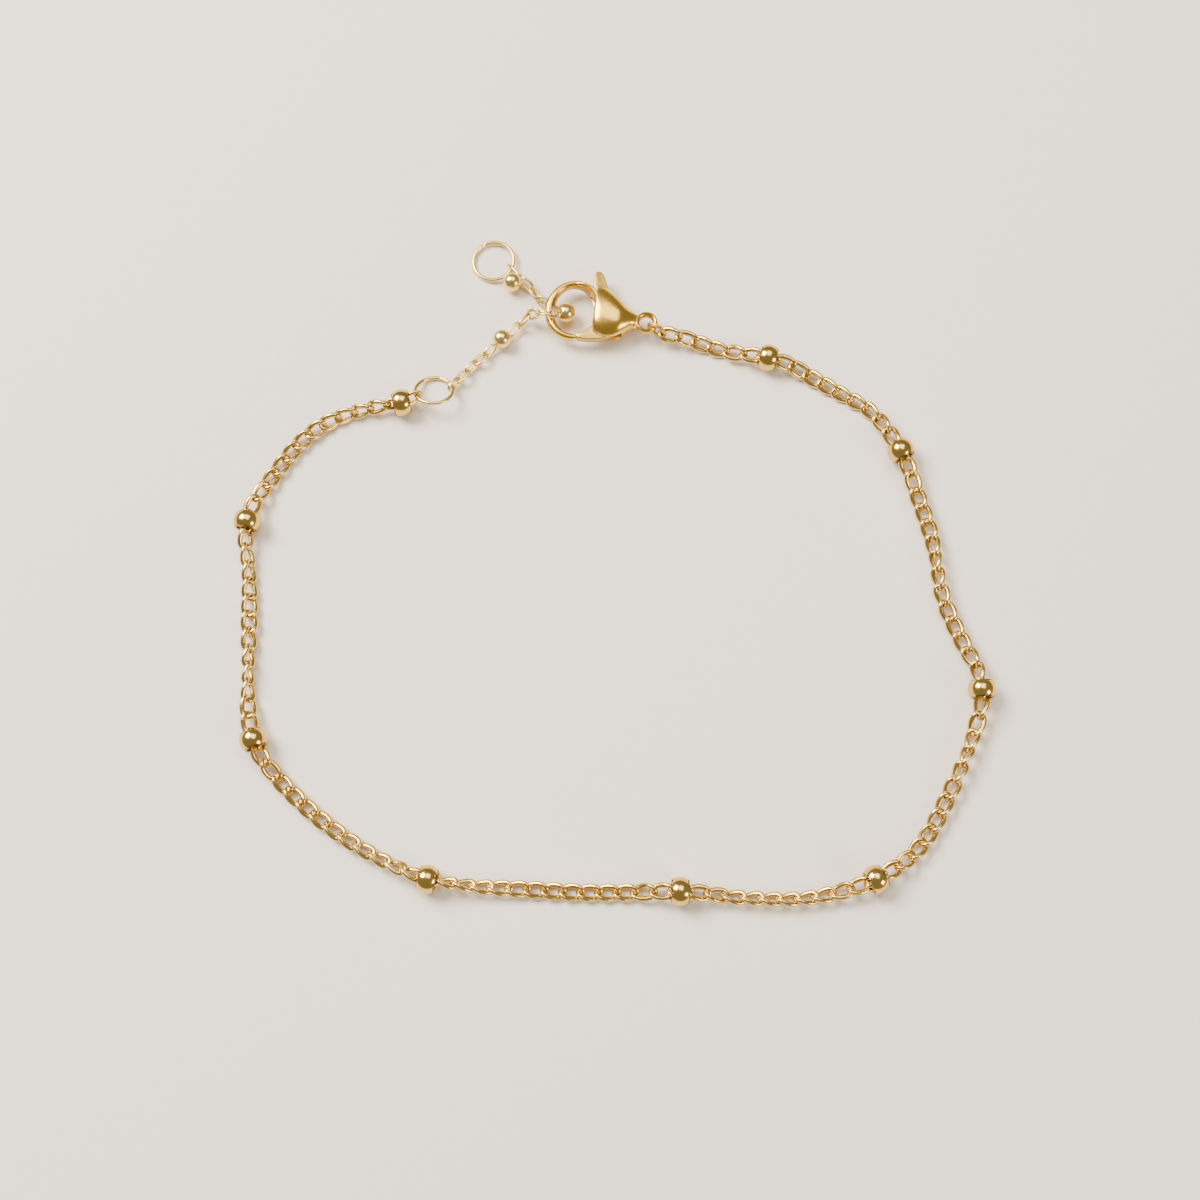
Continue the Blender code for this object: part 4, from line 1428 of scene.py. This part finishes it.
@dataclass(frozen=True)
class Softbox:
    """A square soft light that faces the bracelet.

    Attributes:
        name: The light's name.
        place: Where it hangs.
        size: Its width.
        watts: Its power.
        warmth: How much blue it lacks, from 0 to 1.
        green_share: How much of that its green lacks.
    """

    name: str
    place: tuple[float, float, float]
    size: float
    watts: float
    warmth: float
    green_share: float = 0.4

    def hang(self) -> None:
        """Hang the light and turn it to the bracelet."""
        data = bpy.data.lights.new(self.name, "AREA")
        data.size = self.size
        data.energy = self.watts
        data.color = (1, 1 - self.warmth * self.green_share, 1 - self.warmth)
        lamp = bpy.data.objects.new(self.name, data)
        bpy.context.scene.collection.objects.link(lamp)
        lamp.location = self.place
        lamp.rotation_euler = (-Vector(self.place)).to_track_quat("-Z", "Y").to_euler()


SOFTBOXES = (
    Softbox("window", (-0.30, 0.20, 0.38), 0.26, 6.6, 0.04),
    Softbox("ceiling", (0.06, 0.22, 0.62), 0.40, 2.4, 0.08),
    Softbox("fill", (0.36, -0.22, 0.24), 0.16, 1.2, 0.15),
)


@dataclass
class Studio:
    """The pale floor, the soft light and the camera at the photograph's angle."""

    aim: Vector
    distance: float = 160 * MM
    elevation: float = math.radians(75)
    frame_width: float = 104 * MM
    sensor: float = 36
    floor_size: float = 3
    floor_color: tuple[float, ...] = (0.91, 0.81, 0.68, 1)
    floor_roughness: float = 0.9
    room_color: tuple[float, ...] = (1.0, 0.96, 0.91, 1)
    room_strength: float = 0.31

    def build_floor(self) -> None:
        """Lay the pale floor that the bracelet lies on."""
        deselect_all()
        bpy.ops.mesh.primitive_plane_add(size=self.floor_size)
        floor = bpy.context.object
        floor.name = "floor"
        material = bpy.data.materials.new("pale floor")
        material.use_nodes = True
        shader = material.node_tree.nodes["Principled BSDF"]
        shader.inputs["Base Color"].default_value = self.floor_color
        shader.inputs["Roughness"].default_value = self.floor_roughness
        floor.data.materials.append(material)

    def build_world(self) -> None:
        """Fill the room with an even, pale light."""
        world = bpy.data.worlds.new("soft room")
        bpy.context.scene.world = world
        world.use_nodes = True
        background = world.node_tree.nodes["Background"]
        background.inputs["Color"].default_value = self.room_color
        background.inputs["Strength"].default_value = self.room_strength

    def build_camera(self) -> None:
        """Stand the camera in front of and above the bracelet."""
        data = bpy.data.cameras.new("camera")
        data.sensor_width = self.sensor
        data.lens = self.sensor * self.distance / self.frame_width
        data.clip_start = MM
        camera = bpy.data.objects.new("camera", data)
        bpy.context.scene.collection.objects.link(camera)
        away = Vector((0, -math.cos(self.elevation), math.sin(self.elevation)))
        camera.location = self.aim + away * self.distance
        camera.rotation_euler = (math.pi / 2 - self.elevation, 0, 0)
        bpy.context.scene.camera = camera

    def build(self) -> None:
        """Build the whole studio."""
        self.build_floor()
        self.build_world()
        for softbox in SOFTBOXES:
            softbox.hang()
        self.build_camera()


def stand_rings(clasp_place: Matrix) -> tuple[WireRing, WireRing, WireRing]:
    """The three rings of wire, from the clasp round to the extender's free end.

    Args:
        clasp_place: The clasp's place, before the shift to the frame.

    Returns:
        The clasp's ring, the jump ring and the end ring.
    """
    tail = clasp_place @ Vector((*Clasp.tail_centre, 0))
    heading = Vector((math.cos(TAIL_RING_HEADING), math.sin(TAIL_RING_HEADING), 0))
    standing = Matrix((heading, UP, heading.cross(UP))).transposed()
    clasp_middle = tail + heading * TAIL_RING_AWAY - UP * TAIL_RING_SINK
    clasp_ring = WireRing("tail_ring", TAIL_RING_DIAMETER, clasp_middle, standing, TAIL_RING_CUT)
    jump_turn = Matrix.Rotation(CHAIN_RING_TILT, 3, "X")
    jump_middle = Vector(CHAIN_RING_PLACE) * MM
    jump_ring = WireRing("chain_ring", CHAIN_RING_DIAMETER, jump_middle, jump_turn, CHAIN_RING_CUT)
    end_turn = Matrix.Rotation(FREE_RING_HEADING, 3, "Z") @ Matrix.Rotation(FREE_RING_TILT, 3, "X")
    end_middle = Vector(FREE_RING_PLACE) * MM
    end_ring = WireRing("free_ring", FREE_RING_DIAMETER, end_middle, end_turn, FREE_RING_CUT)
    return clasp_ring, jump_ring, end_ring


def main() -> None:
    """Load the frame, build every piece round it and light it."""
    logging.basicConfig(level=logging.INFO, format="%(name)s %(message)s")
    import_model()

    clasp_place = Matrix.Translation(CLASP_PLACE) @ Matrix.Rotation(CLASP_HEADING, 4, "Z")
    rivet_low, rivet_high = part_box("clasp_rivet")
    rivet = (Vector(rivet_low) + Vector(rivet_high)) / 2
    shift = rivet - clasp_place @ Vector((*Clasp.pivot, 0))
    LOG.info("shift %s mm", [round(value / MM, 4) for value in shift])

    wardrobe = Wardrobe.build()
    clasp_ring, jump_ring, end_ring = stand_rings(clasp_place)
    chain = CurbChain(clasp_ring, jump_ring, shift)
    chain.build_links(wardrobe)
    chain.build_beads(wardrobe)
    Extender(jump_ring, end_ring, shift).build(wardrobe)
    for ring, node, material, slot in (
        (clasp_ring, "clasp_ring", wardrobe.clasp, Slot.CLASP),
        (jump_ring, "jump_ring", wardrobe.pale, Slot.PALE),
        (end_ring, "end_ring", wardrobe.pale, Slot.PALE),
    ):
        dress(ring.build(shift), material, nodes=[node])
    Clasp(Matrix.Translation(shift) @ clasp_place).build(wardrobe)

    Studio(Vector(CAMERA_AIM) + Vector((shift.x, shift.y, 0))).build()
    deselect_all()


if __name__ == "__main__":
    main()
